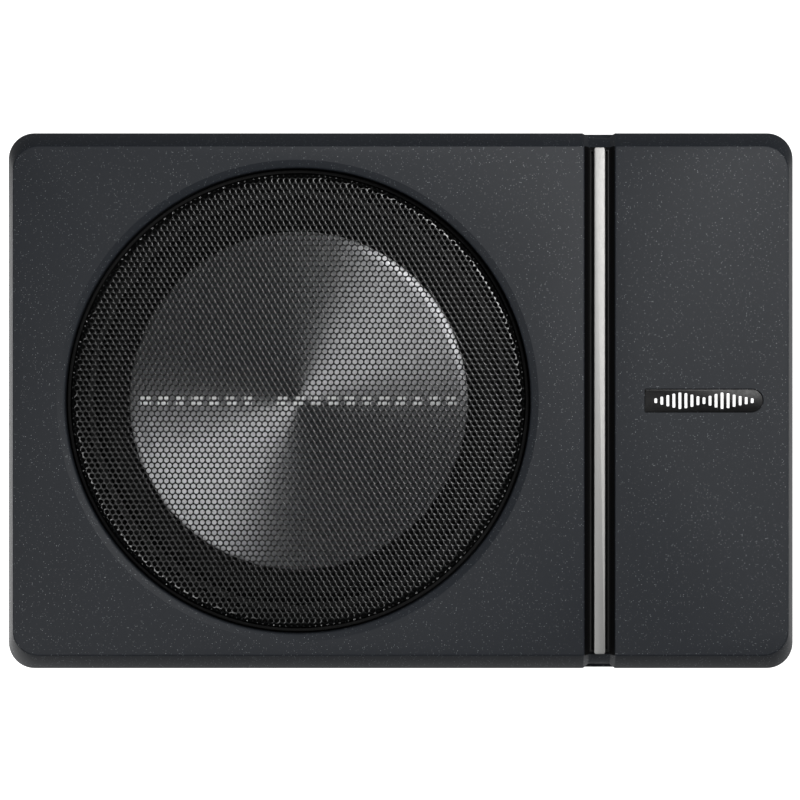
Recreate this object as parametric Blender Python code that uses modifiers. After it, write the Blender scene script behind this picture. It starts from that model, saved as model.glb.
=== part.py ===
"""Powered car subwoofer: an under-seat case with its own amplifier.

A shallow eight-inch driver looks up through a round grille in the top cover. The amplifier stands beside
it, behind a partition, and its sockets and controls sit in a bay at the +X end of the cast chassis.

Frame: +Z is up, +X runs along the case towards the socket bay, and the origin is the middle of the
footprint, on the surface that the rubber feet stand on. Run it with blender --background --python part.py.
"""

import math

import bmesh
import bpy
from mathutils import Matrix, Vector

MM = 0.001
GAP = 0.3 * MM  # left between pieces that touch on the real object

# Case
CASE_LENGTH = 340 * MM
CASE_DEPTH = 232 * MM
CASE_HEIGHT = 70 * MM
CORNER_RADIUS = 12 * MM
CORNER_STEPS = 4
FOOT_HEIGHT = 3 * MM
SEAM_Z = 44.2 * MM
GASKET_THICKNESS = 1 * MM
COVER_WALL = 2.6 * MM
CHAMFER_DROP = 9 * MM
CHAMFER_END = 2.6 * MM  # how far the bevel comes in on the two short ends
CHAMFER_SIDE = 6.1 * MM  # and on the two long sides
CHASSIS_INSET = 1.2 * MM
CHASSIS_WALL = 3 * MM

# Levels that follow from them
COVER_RIM_Z = SEAM_Z + GASKET_THICKNESS / 2 + GAP
CHASSIS_RIM_Z = SEAM_Z - GASKET_THICKNESS / 2 - GAP
CHAMFER_Z = CASE_HEIGHT - CHAMFER_DROP
CHASSIS_FLOOR_Z = FOOT_HEIGHT + CHASSIS_WALL
CHASSIS_LENGTH = CASE_LENGTH - 2 * CHASSIS_INSET
CHASSIS_DEPTH = CASE_DEPTH - 2 * CHASSIS_INSET

# Driver, on its own vertical axis
DRIVER_X = -44.4 * MM
OPENING_RADIUS = 100.6 * MM
ROUND_STEPS = 36
DRIVER_STEPS = 24
CONE_STEPS = 28
LEDGE_TOP_Z = 49.2 * MM
LEDGE_INNER_RADIUS = 88.5 * MM
FLANGE_TOP_Z = 52 * MM
SCREW_CIRCLE_RADIUS = 95.6 * MM
DRIVER_SCREWS = 6
DRIVER_SCREW_HOLE = 2.2 * MM
SPIDER_LEDGE_Z = 38 * MM
CONE_RADIUS = 73.6 * MM
CONE_THICKNESS = 1 * MM
COIL_RADIUS = 25 * MM
TOP_PLATE_TOP_Z = 28 * MM

# Trim groove across the cover, and the bar that lies in it
GROOVE_X = 85.9 * MM
GROOVE_TOP_WIDTH = 13.6 * MM
GROOVE_FLOOR_WIDTH = 9.2 * MM
GROOVE_DEPTH = 3.5 * MM
NOTCH_DEPTH = 2.1 * MM  # the same groove where it runs down the long sides
BADGE_X = 130.9 * MM

# Amplifier and the socket bay
PARTITION_X = 62 * MM
BAY_HALF_WIDTH = 96.7 * MM
BAY_BACK_X = 158 * MM
BAY_BOTTOM_Z = 8.3 * MM
BAY_WALL = 2 * MM
BAY_FACE_X = BAY_BACK_X + BAY_WALL
BAY_MOUTH_X = CHASSIS_LENGTH / 2
SOCKET_Z = 25 * MM
BOARD_TOP_Z = 15.6 * MM
BOARD_POSTS = [(76 * MM, -89 * MM), (76 * MM, 8 * MM), (137 * MM, -89 * MM), (134 * MM, 84 * MM)]
LEAD_HOLE_Y, LEAD_HOLE_Z = 12 * MM, 22 * MM
BOSS_X, BOSS_Y = 152 * MM, 105 * MM
SCREW_SEAT_Z = 35.7 * MM
BRACKET_X = 137 * MM

# What stands in the bay, from one side to the other
FUSE_Y, LIGHT_Y = 76 * MM, 89.5 * MM
POWER_Y, SPEAKER_Y, REMOTE_Y = 51 * MM, 25 * MM, 4 * MM
PHONO_Y = (-30 * MM, -14 * MM)
PHASE_Y, PHASE_TRAVEL = -47 * MM, 4 * MM
CROSSOVER_Y, GAIN_Y = -65 * MM, -82 * MM
SOCKET_FACE_X = 165.5 * MM
BAY_HOLES = [(y, 4.5 * MM) for y in PHONO_Y]
BAY_HOLES += [(CROSSOVER_Y, 2.5 * MM), (GAIN_Y, 2.5 * MM), (LIGHT_Y, 2.3 * MM)]


def new_collection(name):
    collection = bpy.data.collections.new(name)
    bpy.context.scene.collection.children.link(collection)
    return collection


def material(name, colour, roughness, metallic=0.0):
    """A plain finish: the part's own colour, roughness and metallic value."""
    made = bpy.data.materials.new(name)
    made.use_nodes = True
    shader = made.node_tree.nodes["Principled BSDF"]
    shader.inputs["Base Color"].default_value = (*colour, 1)
    shader.inputs["Roughness"].default_value = roughness
    shader.inputs["Metallic"].default_value = metallic
    made.diffuse_color = (*colour, 1)
    return made


def add(name, data, finish, location=(0, 0, 0), rotation=(0, 0, 0), collection=None):
    obj = bpy.data.objects.new(name, data)
    obj.location = location
    obj.rotation_euler = rotation
    (collection or PARTS).objects.link(obj)
    if finish:
        data.materials.append(finish)
    if obj.type == "MESH" and data.polygons:
        data.shade_smooth()
        data.set_sharp_from_angle(angle=math.radians(35))
    return obj


def mesh_from(bm, name):
    mesh = bpy.data.meshes.new(name)
    bm.to_mesh(mesh)
    bm.free()
    return mesh


def box(name, low, high, finish=None, collection=None):
    """A block between two corners, with its origin at its middle."""
    low, high = Vector(low), Vector(high)
    bm = bmesh.new()
    bmesh.ops.create_cube(bm, size=1, matrix=Matrix.Diagonal((*(high - low), 1)))
    return add(name, mesh_from(bm, name), finish, (low + high) / 2, collection=collection)


def rod(name, radius, start, end, finish=None, collection=None, segments=12, end_radius=None):
    """A cylinder, or a cone, from the point start to the point end."""
    start, end = Vector(start), Vector(end)
    along = end - start
    bm = bmesh.new()
    bmesh.ops.create_cone(
        bm,
        cap_ends=True,
        segments=segments,
        radius1=radius,
        radius2=radius if end_radius is None else end_radius,
        depth=along.length,
    )
    turn = Vector((0, 0, 1)).rotation_difference(along).to_euler()
    return add(name, mesh_from(bm, name), finish, (start + end) / 2, turn, collection)


def turned(
    name, profile, finish, location=(0, 0, 0), rotation=(0, 0, 0), steps=DRIVER_STEPS, collection=None
):
    """A turned piece. Its profile of (radius, height) points runs clockwise, and ends on the axis or closes."""
    bm = bmesh.new()
    points = [bm.verts.new((r, 0, z)) for r, z in profile]
    for first, second in zip(points, points[1:]):
        bm.edges.new((first, second))
    if profile[0][0] > 0:
        bm.edges.new((points[-1], points[0]))
    obj = add(name, mesh_from(bm, name), finish, location, rotation, collection)
    screw = obj.modifiers.new("turn", "SCREW")
    screw.steps = screw.render_steps = steps
    screw.use_merge_vertices = True
    screw.merge_threshold = 0.00001
    screw.use_smooth_shade = False
    return obj


def ring(inner, outer, bottom, top):
    """The profile of a plain ring."""
    return [(outer, top), (outer, bottom), (inner, bottom), (inner, top)]


def strip(centreline, thickness):
    """The profile of a thin sheet that follows a line of (radius, height) points outwards from the axis."""
    points = [Vector(p) for p in centreline]
    over, under = [], []
    for i, point in enumerate(points):
        before, after = points[max(i - 1, 0)], points[min(i + 1, len(points) - 1)]
        along = (after - before).normalized()
        up = Vector((-along.y, along.x)) * thickness / 2
        if point.x == 0:
            up = Vector((0, thickness / 2))
        over.append(tuple(point + up))
        under.append(tuple(point - up))
    return over + under[::-1]


def rounded_rectangle(length, depth, radius, steps=CORNER_STEPS):
    """The corners' points, anticlockwise, as (x, y)."""
    points = []
    for quarter, (sx, sy) in enumerate(((1, 1), (-1, 1), (-1, -1), (1, -1))):
        cx, cy = sx * (length / 2 - radius), sy * (depth / 2 - radius)
        for step in range(steps + 1):
            angle = (quarter + step / steps) * math.pi / 2
            points.append((cx + radius * math.cos(angle), cy + radius * math.sin(angle)))
    return points


def loft(name, sections, finish, collection=None):
    """A solid between outlines of equal length, each given with its height, from the bottom to the top."""
    bm = bmesh.new()
    loops = []
    for outline, z in sections:
        verts = [bm.verts.new((x, y, z)) for x, y in outline]
        loops.append([bm.edges.new((verts[i - 1], verts[i])) for i in range(len(verts))])
    for lower, upper in zip(loops, loops[1:]):
        bmesh.ops.bridge_loops(bm, edges=lower + upper)
    for loop in (loops[0], loops[-1]):
        bmesh.ops.contextual_create(bm, geom=loop)
    bmesh.ops.recalc_face_normals(bm, faces=bm.faces)
    return add(name, mesh_from(bm, name), finish, collection=collection)


def plate(name, outline, bottom, top, finish, collection=None):
    """A flat plate: a filled outline with the given heights of its two faces."""
    curve = bpy.data.curves.new(name, "CURVE")
    curve.dimensions = "2D"
    curve.fill_mode = "BOTH"
    curve.extrude = (top - bottom) / 2
    line = curve.splines.new("POLY")
    line.points.add(len(outline) - 1)
    for point, (x, y) in zip(line.points, outline):
        point.co = (x, y, 0, 1)
    line.use_cyclic_u = True
    return add(name, curve, finish, (0, 0, (bottom + top) / 2), collection=collection)


def made_mesh(obj):
    """Turns a curve or a piece with modifiers into a plain mesh of the same name, its seams welded."""
    bpy.context.view_layer.update()
    graph = bpy.context.evaluated_depsgraph_get()
    mesh = bpy.data.meshes.new_from_object(obj.evaluated_get(graph))
    bm = bmesh.new()
    bm.from_mesh(mesh)
    bmesh.ops.remove_doubles(bm, verts=bm.verts, dist=0.00001)
    bm.to_mesh(mesh)
    bm.free()
    name, matrix, collection = obj.name, obj.matrix_world.copy(), obj.users_collection[0]
    bpy.data.objects.remove(obj)
    new = bpy.data.objects.new(name, mesh)
    new.matrix_world = matrix
    collection.objects.link(new)
    mesh.name = name
    return new


def tool(obj):
    """Marks a cutter or an added shape, which isn't a piece of its own."""
    obj.hide_render = True
    obj.display_type = "WIRE"
    return obj


def boolean(obj, operation, others):
    for other in others:
        tool(other)
        step = obj.modifiers.new(other.name, "BOOLEAN")
        step.operation = operation
        step.solver = "EXACT"
        step.object = other
    return obj


def cut(obj, *cutters):
    return boolean(obj, "DIFFERENCE", cutters)


def join(obj, *others):
    return boolean(obj, "UNION", others)


def on_circle(count, radius, first_degrees=0.0, centre_x=DRIVER_X):
    """Points spaced evenly round the driver's axis."""
    for index in range(count):
        angle = math.radians(first_degrees) + index * math.tau / count
        yield centre_x + radius * math.cos(angle), radius * math.sin(angle)


def corners(x, y):
    return [(sx * x, sy * y) for sx in (-1, 1) for sy in (-1, 1)]


# ---------------------------------------------------------------- case


def case_outline(inset_x=0.0, inset_y=0.0, radius=CORNER_RADIUS):
    return rounded_rectangle(CASE_LENGTH - 2 * inset_x, CASE_DEPTH - 2 * inset_y, radius)


def under_bevel(width):
    """How far in the cover's ceiling begins, so that the wall under such a bevel is as thick as the rest."""
    slope = width / CHAMFER_DROP
    return slope * (CHAMFER_DROP - COVER_WALL) + COVER_WALL * math.hypot(1, slope)


def groove_belt():
    """The cutter of the trim groove: a belt with sloping sides that wraps the cover from side to side."""
    side, top = CASE_DEPTH / 2, CASE_HEIGHT
    low, reach = 30 * MM, 3 * MM
    shoulder = side - CHAMFER_SIDE - 0.6 * MM
    floor = [
        (-side + NOTCH_DEPTH, low),
        (-side + NOTCH_DEPTH, CHAMFER_Z - 0.6 * MM),
        (-shoulder, top - GROOVE_DEPTH),
        (shoulder, top - GROOVE_DEPTH),
        (side - NOTCH_DEPTH, CHAMFER_Z - 0.6 * MM),
        (side - NOTCH_DEPTH, low),
    ]
    outside = [
        (-side - reach, low - reach),
        (-side - reach, CHAMFER_Z + reach / 2),
        (-side + CHAMFER_SIDE - reach / 2, top + reach),
        (side - CHAMFER_SIDE + reach / 2, top + reach),
        (side + reach, CHAMFER_Z + reach / 2),
        (side + reach, low - reach),
    ]
    slope = (GROOVE_TOP_WIDTH - GROOVE_FLOOR_WIDTH) / 2 / GROOVE_DEPTH
    outer_half = GROOVE_FLOOR_WIDTH / 2 + slope * (GROOVE_DEPTH + reach)
    bm = bmesh.new()
    loops = []
    for line, half in (
        (floor, -GROOVE_FLOOR_WIDTH / 2),
        (floor, GROOVE_FLOOR_WIDTH / 2),
        (outside, outer_half),
        (outside, -outer_half),
    ):
        verts = [bm.verts.new((GROOVE_X + half, y, z)) for y, z in line]
        loops.append([bm.edges.new((verts[i - 1], verts[i])) for i in range(len(verts))])
    for index in range(4):
        bmesh.ops.bridge_loops(bm, edges=loops[index - 1] + loops[index])
    bmesh.ops.recalc_face_normals(bm, faces=bm.faces)
    return add("groove_belt", mesh_from(bm, "groove_belt"), None, collection=TOOLS)


def top_cover():
    """A bevelled shell with the driver's well, the groove's rib and four screw bosses inside."""
    cover = loft(
        "top_cover",
        [
            (case_outline(), COVER_RIM_Z),
            (case_outline(), CHAMFER_Z),
            (case_outline(CHAMFER_END, CHAMFER_SIDE), CASE_HEIGHT),
        ],
        COVER_PAINT,
    )
    inner_radius = CORNER_RADIUS - COVER_WALL
    wall_outline = case_outline(COVER_WALL, COVER_WALL, inner_radius)
    ceiling = case_outline(under_bevel(CHAMFER_END), under_bevel(CHAMFER_SIDE), inner_radius)
    hollow = loft(
        "cover_hollow",
        [
            (wall_outline, COVER_RIM_Z - 2 * MM),
            (wall_outline, CHAMFER_Z - 0.6 * MM),
            (ceiling, CASE_HEIGHT - COVER_WALL),
        ],
        None,
        collection=TOOLS,
    )
    cut(cover, hollow)

    inside_top = CASE_HEIGHT - COVER_WALL
    bite = 1.2 * MM  # how far added shapes run into the shell
    well_outer = OPENING_RADIUS + 2.6 * MM
    well_bottom = LEDGE_TOP_Z - 2.7 * MM
    well = turned(
        "well",
        ring(LEDGE_INNER_RADIUS, well_outer, well_bottom, inside_top + bite),
        None,
        (DRIVER_X, 0, 0),
        steps=ROUND_STEPS,
        collection=TOOLS,
    )
    rib_half, rib_depth = 10.5 * MM, 9 * MM
    side = CASE_DEPTH / 2
    added = [
        well,
        box(
            "groove_rib",
            (GROOVE_X - rib_half, -side + 4.2 * MM, CASE_HEIGHT - rib_depth),
            (GROOVE_X + rib_half, side - 4.2 * MM, inside_top - 1 * MM),
            collection=TOOLS,
        ),
    ]
    for name, sign in (("front", -1), ("back", 1)):
        near, far = sorted((sign * (side - 7 * MM), sign * (side - 1.3 * MM)))
        added.append(
            box(
                f"groove_leg_{name}",
                (GROOVE_X - rib_half - bite, near, COVER_RIM_Z + 0.4 * MM),
                (GROOVE_X + rib_half + bite, far, CHAMFER_Z - 1 * MM),
                collection=TOOLS,
            )
        )
        near, far = sorted((sign * (side - 11 * MM), sign * (side - 4.6 * MM)))
        added.append(
            box(
                f"groove_shoulder_{name}",
                (GROOVE_X - rib_half + bite, near, CHAMFER_Z - 3 * MM),
                (GROOVE_X + rib_half - bite, far, CASE_HEIGHT - 4 * MM),
                collection=TOOLS,
            )
        )
    for number, (x, y) in enumerate(corners(BOSS_X, BOSS_Y), 1):
        added.append(
            rod(
                f"cover_boss_{number}",
                5.2 * MM,
                (x, y, COVER_RIM_Z + 0.5 * MM),
                (x, y, inside_top + 0.8 * MM),
                collection=TOOLS,
            )
        )
    join(cover, *added)

    sink_width, sink_drop = 2.8 * MM, 1.4 * MM
    sink_slope = sink_width / sink_drop
    over = 2 * MM
    removed = [
        rod(
            "opening",
            OPENING_RADIUS,
            (DRIVER_X, 0, LEDGE_TOP_Z),
            (DRIVER_X, 0, CASE_HEIGHT + over),
            collection=TOOLS,
            segments=ROUND_STEPS,
        ),
        rod(
            "countersink",
            OPENING_RADIUS - 1 * MM,
            (DRIVER_X, 0, CASE_HEIGHT - sink_drop - 1 * MM / sink_slope),
            (DRIVER_X, 0, CASE_HEIGHT + over),
            collection=TOOLS,
            segments=ROUND_STEPS,
            end_radius=OPENING_RADIUS + sink_width + sink_slope * over,
        ),
        groove_belt(),
        box(
            "bar_slot",
            (GROOVE_X - 4.4 * MM, -CASE_DEPTH / 2 + 7.2 * MM, 63.2 * MM),
            (GROOVE_X + 4.4 * MM, CASE_DEPTH / 2 - 7.2 * MM, 68 * MM),
            collection=TOOLS,
        ),
        tool(
            made_mesh(badge_shape("badge_recess", GAP * 1.2, CASE_HEIGHT - 1 * MM, CASE_HEIGHT + over, TOOLS))
        ),
    ]
    for number, (x, y) in enumerate(corners(BOSS_X, BOSS_Y), 1):
        low, high = (x, y, COVER_RIM_Z - 1 * MM), (x, y, 58 * MM)
        removed.append(rod(f"cover_pilot_{number}", 2 * MM, low, high, collection=TOOLS))
    for number, (x, y) in enumerate(on_circle(DRIVER_SCREWS, SCREW_CIRCLE_RADIUS, 30), 1):
        low, high = (x, y, 40 * MM), (x, y, 51 * MM)
        removed.append(rod(f"ledge_hole_{number}", DRIVER_SCREW_HOLE, low, high, collection=TOOLS))
    return cut(cover, *removed)


def bottom_chassis():
    """The cast tub: fins outside the amplifier, posts for the board, deep screw bosses, the bay's mouth."""
    foot_inset = 2.5 * MM
    corner = CORNER_RADIUS - CHASSIS_INSET
    outline = rounded_rectangle(CHASSIS_LENGTH, CHASSIS_DEPTH, corner)
    small = rounded_rectangle(
        CHASSIS_LENGTH - 2 * foot_inset, CHASSIS_DEPTH - 2 * foot_inset, corner - foot_inset
    )
    chassis = loft(
        "bottom_chassis",
        [(small, FOOT_HEIGHT), (outline, FOOT_HEIGHT + foot_inset), (outline, CHASSIS_RIM_Z)],
        CAST_ALUMINIUM,
    )
    inside = rounded_rectangle(
        CHASSIS_LENGTH - 2 * CHASSIS_WALL,
        CHASSIS_DEPTH - 2 * CHASSIS_WALL,
        CORNER_RADIUS - CHASSIS_INSET - CHASSIS_WALL,
    )
    cut(
        chassis,
        loft(
            "chassis_hollow",
            [(inside, CHASSIS_FLOOR_Z), (inside, CHASSIS_RIM_Z + 5 * MM)],
            None,
            collection=TOOLS,
        ),
    )

    side = CHASSIS_DEPTH / 2
    fin_first, fin_last, fin_pitch, slot_width = 71 * MM, 125 * MM, 5.4 * MM, 2.8 * MM
    slot_depth, back_thickness = 7.5 * MM, 4.8 * MM
    added, removed = [], []
    for name, sign in (("front", -1), ("back", 1)):
        near, far = sorted((sign * (side - slot_depth - back_thickness), sign * (side - 1.5 * MM)))
        added.append(
            box(
                f"fin_block_{name}",
                (fin_first, near, CHASSIS_FLOOR_Z - 1 * MM),
                (fin_last, far, CHASSIS_RIM_Z - 1.5 * MM),
                collection=TOOLS,
            )
        )
        for number in range(round((fin_last - fin_first) / fin_pitch) - 1):
            x = fin_first + fin_pitch * (number + 1)
            near, far = sorted((sign * (side - slot_depth), sign * (side + 4 * MM)))
            removed.append(
                box(
                    f"fin_slot_{name}_{number + 1}",
                    (x - slot_width / 2, near, 9 * MM),
                    (x + slot_width / 2, far, 38 * MM),
                    collection=TOOLS,
                )
            )
        for end, x in (("left", -BRACKET_X), ("right", BRACKET_X)):
            added.append(
                rod(
                    f"bracket_boss_{name}_{end}",
                    5.5 * MM,
                    (x, sign * (side - 11 * MM), 22 * MM),
                    (x, sign * (side - 1.4 * MM), 22 * MM),
                    collection=TOOLS,
                )
            )
            removed.append(
                rod(
                    f"bracket_hole_{name}_{end}",
                    2.1 * MM,
                    (x, sign * (side - 9 * MM), 22 * MM),
                    (x, sign * (side + 2 * MM), 22 * MM),
                    collection=TOOLS,
                )
            )
    for number, (x, y) in enumerate(BOARD_POSTS, 1):
        added.append(
            rod(
                f"board_post_{number}",
                3.2 * MM,
                (x, y, CHASSIS_FLOOR_Z - 1 * MM),
                (x, y, BOARD_TOP_Z - 1.6 * MM - GAP),
                collection=TOOLS,
            )
        )
    for number, (x, y) in enumerate(corners(BOSS_X, BOSS_Y), 1):
        added.append(
            rod(
                f"chassis_boss_{number}",
                6.5 * MM,
                (x, y, CHASSIS_FLOOR_Z - 1 * MM),
                (x, y, CHASSIS_RIM_Z - 0.4 * MM),
                collection=TOOLS,
            )
        )
        seat = (x, y, SCREW_SEAT_Z)
        removed.append(
            rod(f"screw_well_{number}", 4.3 * MM, (x, y, 0), seat, collection=TOOLS, segments=16)
        )
        low, high = (x, y, SCREW_SEAT_Z - 4 * MM), (x, y, 50 * MM)
        removed.append(rod(f"screw_way_{number}", 2.3 * MM, low, high, collection=TOOLS))
    removed.append(
        box(
            "bay_mouth",
            (BAY_BACK_X - 3 * MM, -BAY_HALF_WIDTH - GAP, BAY_BOTTOM_Z - GAP),
            (BAY_MOUTH_X + 5 * MM, BAY_HALF_WIDTH + GAP, CHASSIS_RIM_Z + 5 * MM),
            collection=TOOLS,
        )
    )
    join(chassis, *added)
    return cut(chassis, *removed)


def chassis_gasket():
    """The foam seal on the rim, between the chassis and the cover."""
    outer = rounded_rectangle(CASE_LENGTH - 3.0 * MM, CASE_DEPTH - 3.0 * MM, CORNER_RADIUS - 1.5 * MM)
    inner = rounded_rectangle(CASE_LENGTH - 7.4 * MM, CASE_DEPTH - 7.4 * MM, CORNER_RADIUS - 3.7 * MM)
    low, high = SEAM_Z - GASKET_THICKNESS / 2, SEAM_Z + GASKET_THICKNESS / 2
    seal = loft("chassis_gasket", [(outer, low), (outer, high)], FOAM)
    hollow = [(inner, low - 1 * MM), (inner, high + 1 * MM)]
    return cut(seal, loft("gasket_inside", hollow, None, collection=TOOLS))


def amp_partition():
    """The wall that keeps the driver's air out of the amplifier, with a hole for the leads."""
    half, top, thickness = 111.4 * MM, 67 * MM, 2.5 * MM
    outline = [
        (-half, CHASSIS_FLOOR_Z + GAP),
        (half, CHASSIS_FLOOR_Z + GAP),
        (half, 59.5 * MM),
        (half - 5.4 * MM, top),
        (-half + 5.4 * MM, top),
        (-half, 59.5 * MM),
    ]
    wall = plate("amp_partition", outline, 0, thickness, BLACK_PLASTIC)
    wall = made_mesh(wall)
    wall.matrix_world = (
        Matrix.Translation((PARTITION_X + thickness / 2, 0, 0))
        @ Matrix(((0, 0, 1, 0), (1, 0, 0, 0), (0, 1, 0, 0), (0, 0, 0, 1)))
    )
    hole = rod(
        "lead_hole",
        7.2 * MM,
        (PARTITION_X - 3 * MM, LEAD_HOLE_Y, LEAD_HOLE_Z),
        (PARTITION_X + 6 * MM, LEAD_HOLE_Y, LEAD_HOLE_Z),
        collection=TOOLS,
    )
    cut(wall, hole)
    middle = thickness / 2
    profile = [
        (9.2 * MM, middle + 1.9 * MM),
        (9.2 * MM, middle + GAP),
        (6.7 * MM, middle + GAP),
        (6.7 * MM, -middle - GAP),
        (9.2 * MM, -middle - GAP),
        (9.2 * MM, -middle - 1.9 * MM),
        (5 * MM, -middle - 1.9 * MM),
        (5 * MM, middle + 1.9 * MM),
    ]
    place = (PARTITION_X + middle, LEAD_HOLE_Y, LEAD_HOLE_Z)
    turned("partition_grommet", profile, RUBBER, place, (0, math.pi / 2, 0), steps=14)


def rubber_feet():
    for number, (x, y) in enumerate(corners(126 * MM, 90 * MM), 1):
        top, radius = FOOT_HEIGHT - GAP, 10 * MM
        profile = [(0, top), (radius, top), (radius, 0.8 * MM), (radius - 0.8 * MM, 0), (0, 0)]
        turned(f"rubber_foot_{number}", profile, RUBBER, (x, y, 0), steps=20)


def screw_profile(head_radius, head_height, shank_radius, length):
    """A screw standing on its tip, with the underside of its head at height 0."""
    return [
        (0, head_height),
        (head_radius * 0.72, head_height),
        (head_radius, head_height * 0.55),
        (head_radius, 0),
        (shank_radius, 0),
        (shank_radius, -length + 1.5 * MM),
        (0, -length),
    ]


def case_screws():
    """Four long screws go up through the chassis bosses into the cover's bosses."""
    profile = screw_profile(3.8 * MM, 2.6 * MM, 1.7 * MM, 20 * MM)
    for number, (x, y) in enumerate(corners(BOSS_X, BOSS_Y), 1):
        seat = (x, y, SCREW_SEAT_Z - GAP)
        turned(f"cover_screw_{number}", profile, ZINC_STEEL, seat, (math.pi, 0, 0), steps=8)


def badge_shape(name, margin, bottom, top, collection=None, finish=None):
    """The name plate's outline: square on the left with small corners, round on the right."""
    half_length, half_width, corner = 25.4 * MM + margin, 4.9 * MM + margin, 0.8 * MM
    points = []
    for centre, radius, start in (
        ((half_length - half_width, 0), half_width, -90),
        ((half_length - half_width, 0), half_width, 0),
        ((-half_length + corner, half_width - corner), corner, 90),
        ((-half_length + corner, -half_width + corner), corner, 180),
    ):
        for step in range(7):
            angle = math.radians(start + 90 * step / 6)
            x, y = radius * math.cos(angle), radius * math.sin(angle)
            points.append((BADGE_X + centre[0] + x, centre[1] + y))
    distinct = [p for i, p in enumerate(points) if (Vector(p) - Vector(points[i - 1])).length > 0.01 * MM]
    return plate(name, distinct, bottom, top, finish, collection)


def top_trim():
    """The black channel in the groove, the bright bar that it holds, and a plain name plate."""
    half_length = CASE_DEPTH / 2 - 7.6 * MM
    channel_half, channel_wall, rim_z, floor_z = 4.1 * MM, 0.6 * MM, 66.9 * MM, 63.5 * MM
    channel = box(
        "trim_channel",
        (GROOVE_X - channel_half, -half_length, floor_z),
        (GROOVE_X + channel_half, half_length, rim_z),
        BLACK_PLASTIC,
    )
    inside = channel_half - channel_wall
    cut(
        channel,
        box(
            "channel_inside",
            (GROOVE_X - inside, -half_length - 2 * MM, floor_z + 0.9 * MM),
            (GROOVE_X + inside, half_length + 2 * MM, rim_z + 2 * MM),
            collection=TOOLS,
        ),
    )
    bar_half = 2.36 * MM
    bar = box(
        "trim_bar",
        (GROOVE_X - bar_half, -CASE_DEPTH / 2 + CHAMFER_SIDE + 0.5 * MM, 67.2 * MM),
        (GROOVE_X + bar_half, CASE_DEPTH / 2 - CHAMFER_SIDE - 0.5 * MM, 69.7 * MM),
        BAR_ALUMINIUM,
    )
    join(
        bar,
        box(
            "bar_keel",
            (GROOVE_X - 1.6 * MM, -half_length + 1 * MM, floor_z + 0.9 * MM + GAP),
            (GROOVE_X + 1.6 * MM, half_length - 1 * MM, 68 * MM),
            collection=TOOLS,
        ),
    )
    badge_shape("badge_plate", 0, CASE_HEIGHT - 0.7 * MM, CASE_HEIGHT - 0.1 * MM, finish=BADGE_PLASTIC)


def grille():
    """The grille: a drawn sheet whose crown is shallow and whose rim stands in a plastic ring."""
    crown, edge_z, edge_r, rim_r = 68 * MM, 65.8 * MM, 93.6 * MM, 97.6 * MM
    line = [(r, crown - (crown - edge_z) * (r / edge_r) ** 2) for r in (edge_r * k / 3 for k in range(4))]
    bend = rim_r - edge_r
    for step in (1, 2):
        angle = math.radians(45 * step)
        line.append((edge_r + bend * math.sin(angle), edge_z - bend * (1 - math.cos(angle))))
    line.append((rim_r, 57.6 * MM))
    turned("grille_mesh", strip(line, 0.8 * MM), GRILLE_STEEL, (DRIVER_X, 0, 0), steps=ROUND_STEPS)
    profile = [
        (100 * MM, 63.2 * MM),
        (100 * MM, FLANGE_TOP_Z + GAP),
        (98.8 * MM, FLANGE_TOP_Z + GAP),
        (98.8 * MM, 55.6 * MM),
        (92.4 * MM, 55.6 * MM),
        (92.4 * MM, 57.2 * MM),
        (98.3 * MM, 57.2 * MM),
        (98.3 * MM, 63.2 * MM),
    ]
    turned("grille_ring", profile, BLACK_PLASTIC, (DRIVER_X, 0, 0), steps=ROUND_STEPS)


# ---------------------------------------------------------------- driver


def basket():
    """The driver's frame: a flange, six spokes, a ledge for the spider and a seat for the magnet."""
    profile = [
        (99.5 * MM, FLANGE_TOP_Z),
        (99.5 * MM, LEDGE_TOP_Z + GAP),
        (87.9 * MM, LEDGE_TOP_Z + GAP),
        (87.9 * MM, 45.5 * MM),
        (60.5 * MM, 36.2 * MM),
        (60.5 * MM, TOP_PLATE_TOP_Z + GAP),
        (32 * MM, TOP_PLATE_TOP_Z + GAP),
        (32 * MM, TOP_PLATE_TOP_Z + 2.3 * MM),
        (51 * MM, TOP_PLATE_TOP_Z + 2.3 * MM),
        (51 * MM, SPIDER_LEDGE_Z),
        (59.8 * MM, SPIDER_LEDGE_Z),
        (85.4 * MM, 46.4 * MM),
        (85.4 * MM, FLANGE_TOP_Z),
    ]
    frame = turned("basket", profile, CAST_ALUMINIUM, (DRIVER_X, 0, 0), steps=CONE_STEPS)
    cutters = []
    low, high = (64.5 * MM, -24 * MM, 33 * MM), (80 * MM, 24 * MM, 55 * MM)
    to_driver = Matrix.Translation((DRIVER_X, 0, 0))
    for number in range(6):
        turn = Matrix.Rotation(math.radians(30 + 60 * number), 4, "Z")
        window = box(f"window_{number + 1}", low, high, collection=TOOLS)
        window.matrix_world = to_driver @ turn @ Matrix.Translation(window.location)
        cutters.append(window)
    for number, (x, y) in enumerate(on_circle(DRIVER_SCREWS, SCREW_CIRCLE_RADIUS, 30), 1):
        low, high = (x, y, 47 * MM), (x, y, 54 * MM)
        cutters.append(rod(f"flange_hole_{number}", DRIVER_SCREW_HOLE, low, high, collection=TOOLS))
        screw = screw_profile(2.9 * MM, 2.1 * MM, 1.8 * MM, 8.5 * MM)
        turned(f"driver_screw_{number}", screw, BLACK_STEEL, (x, y, FLANGE_TOP_Z + GAP), steps=8)
    return cut(frame, *cutters)


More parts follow.
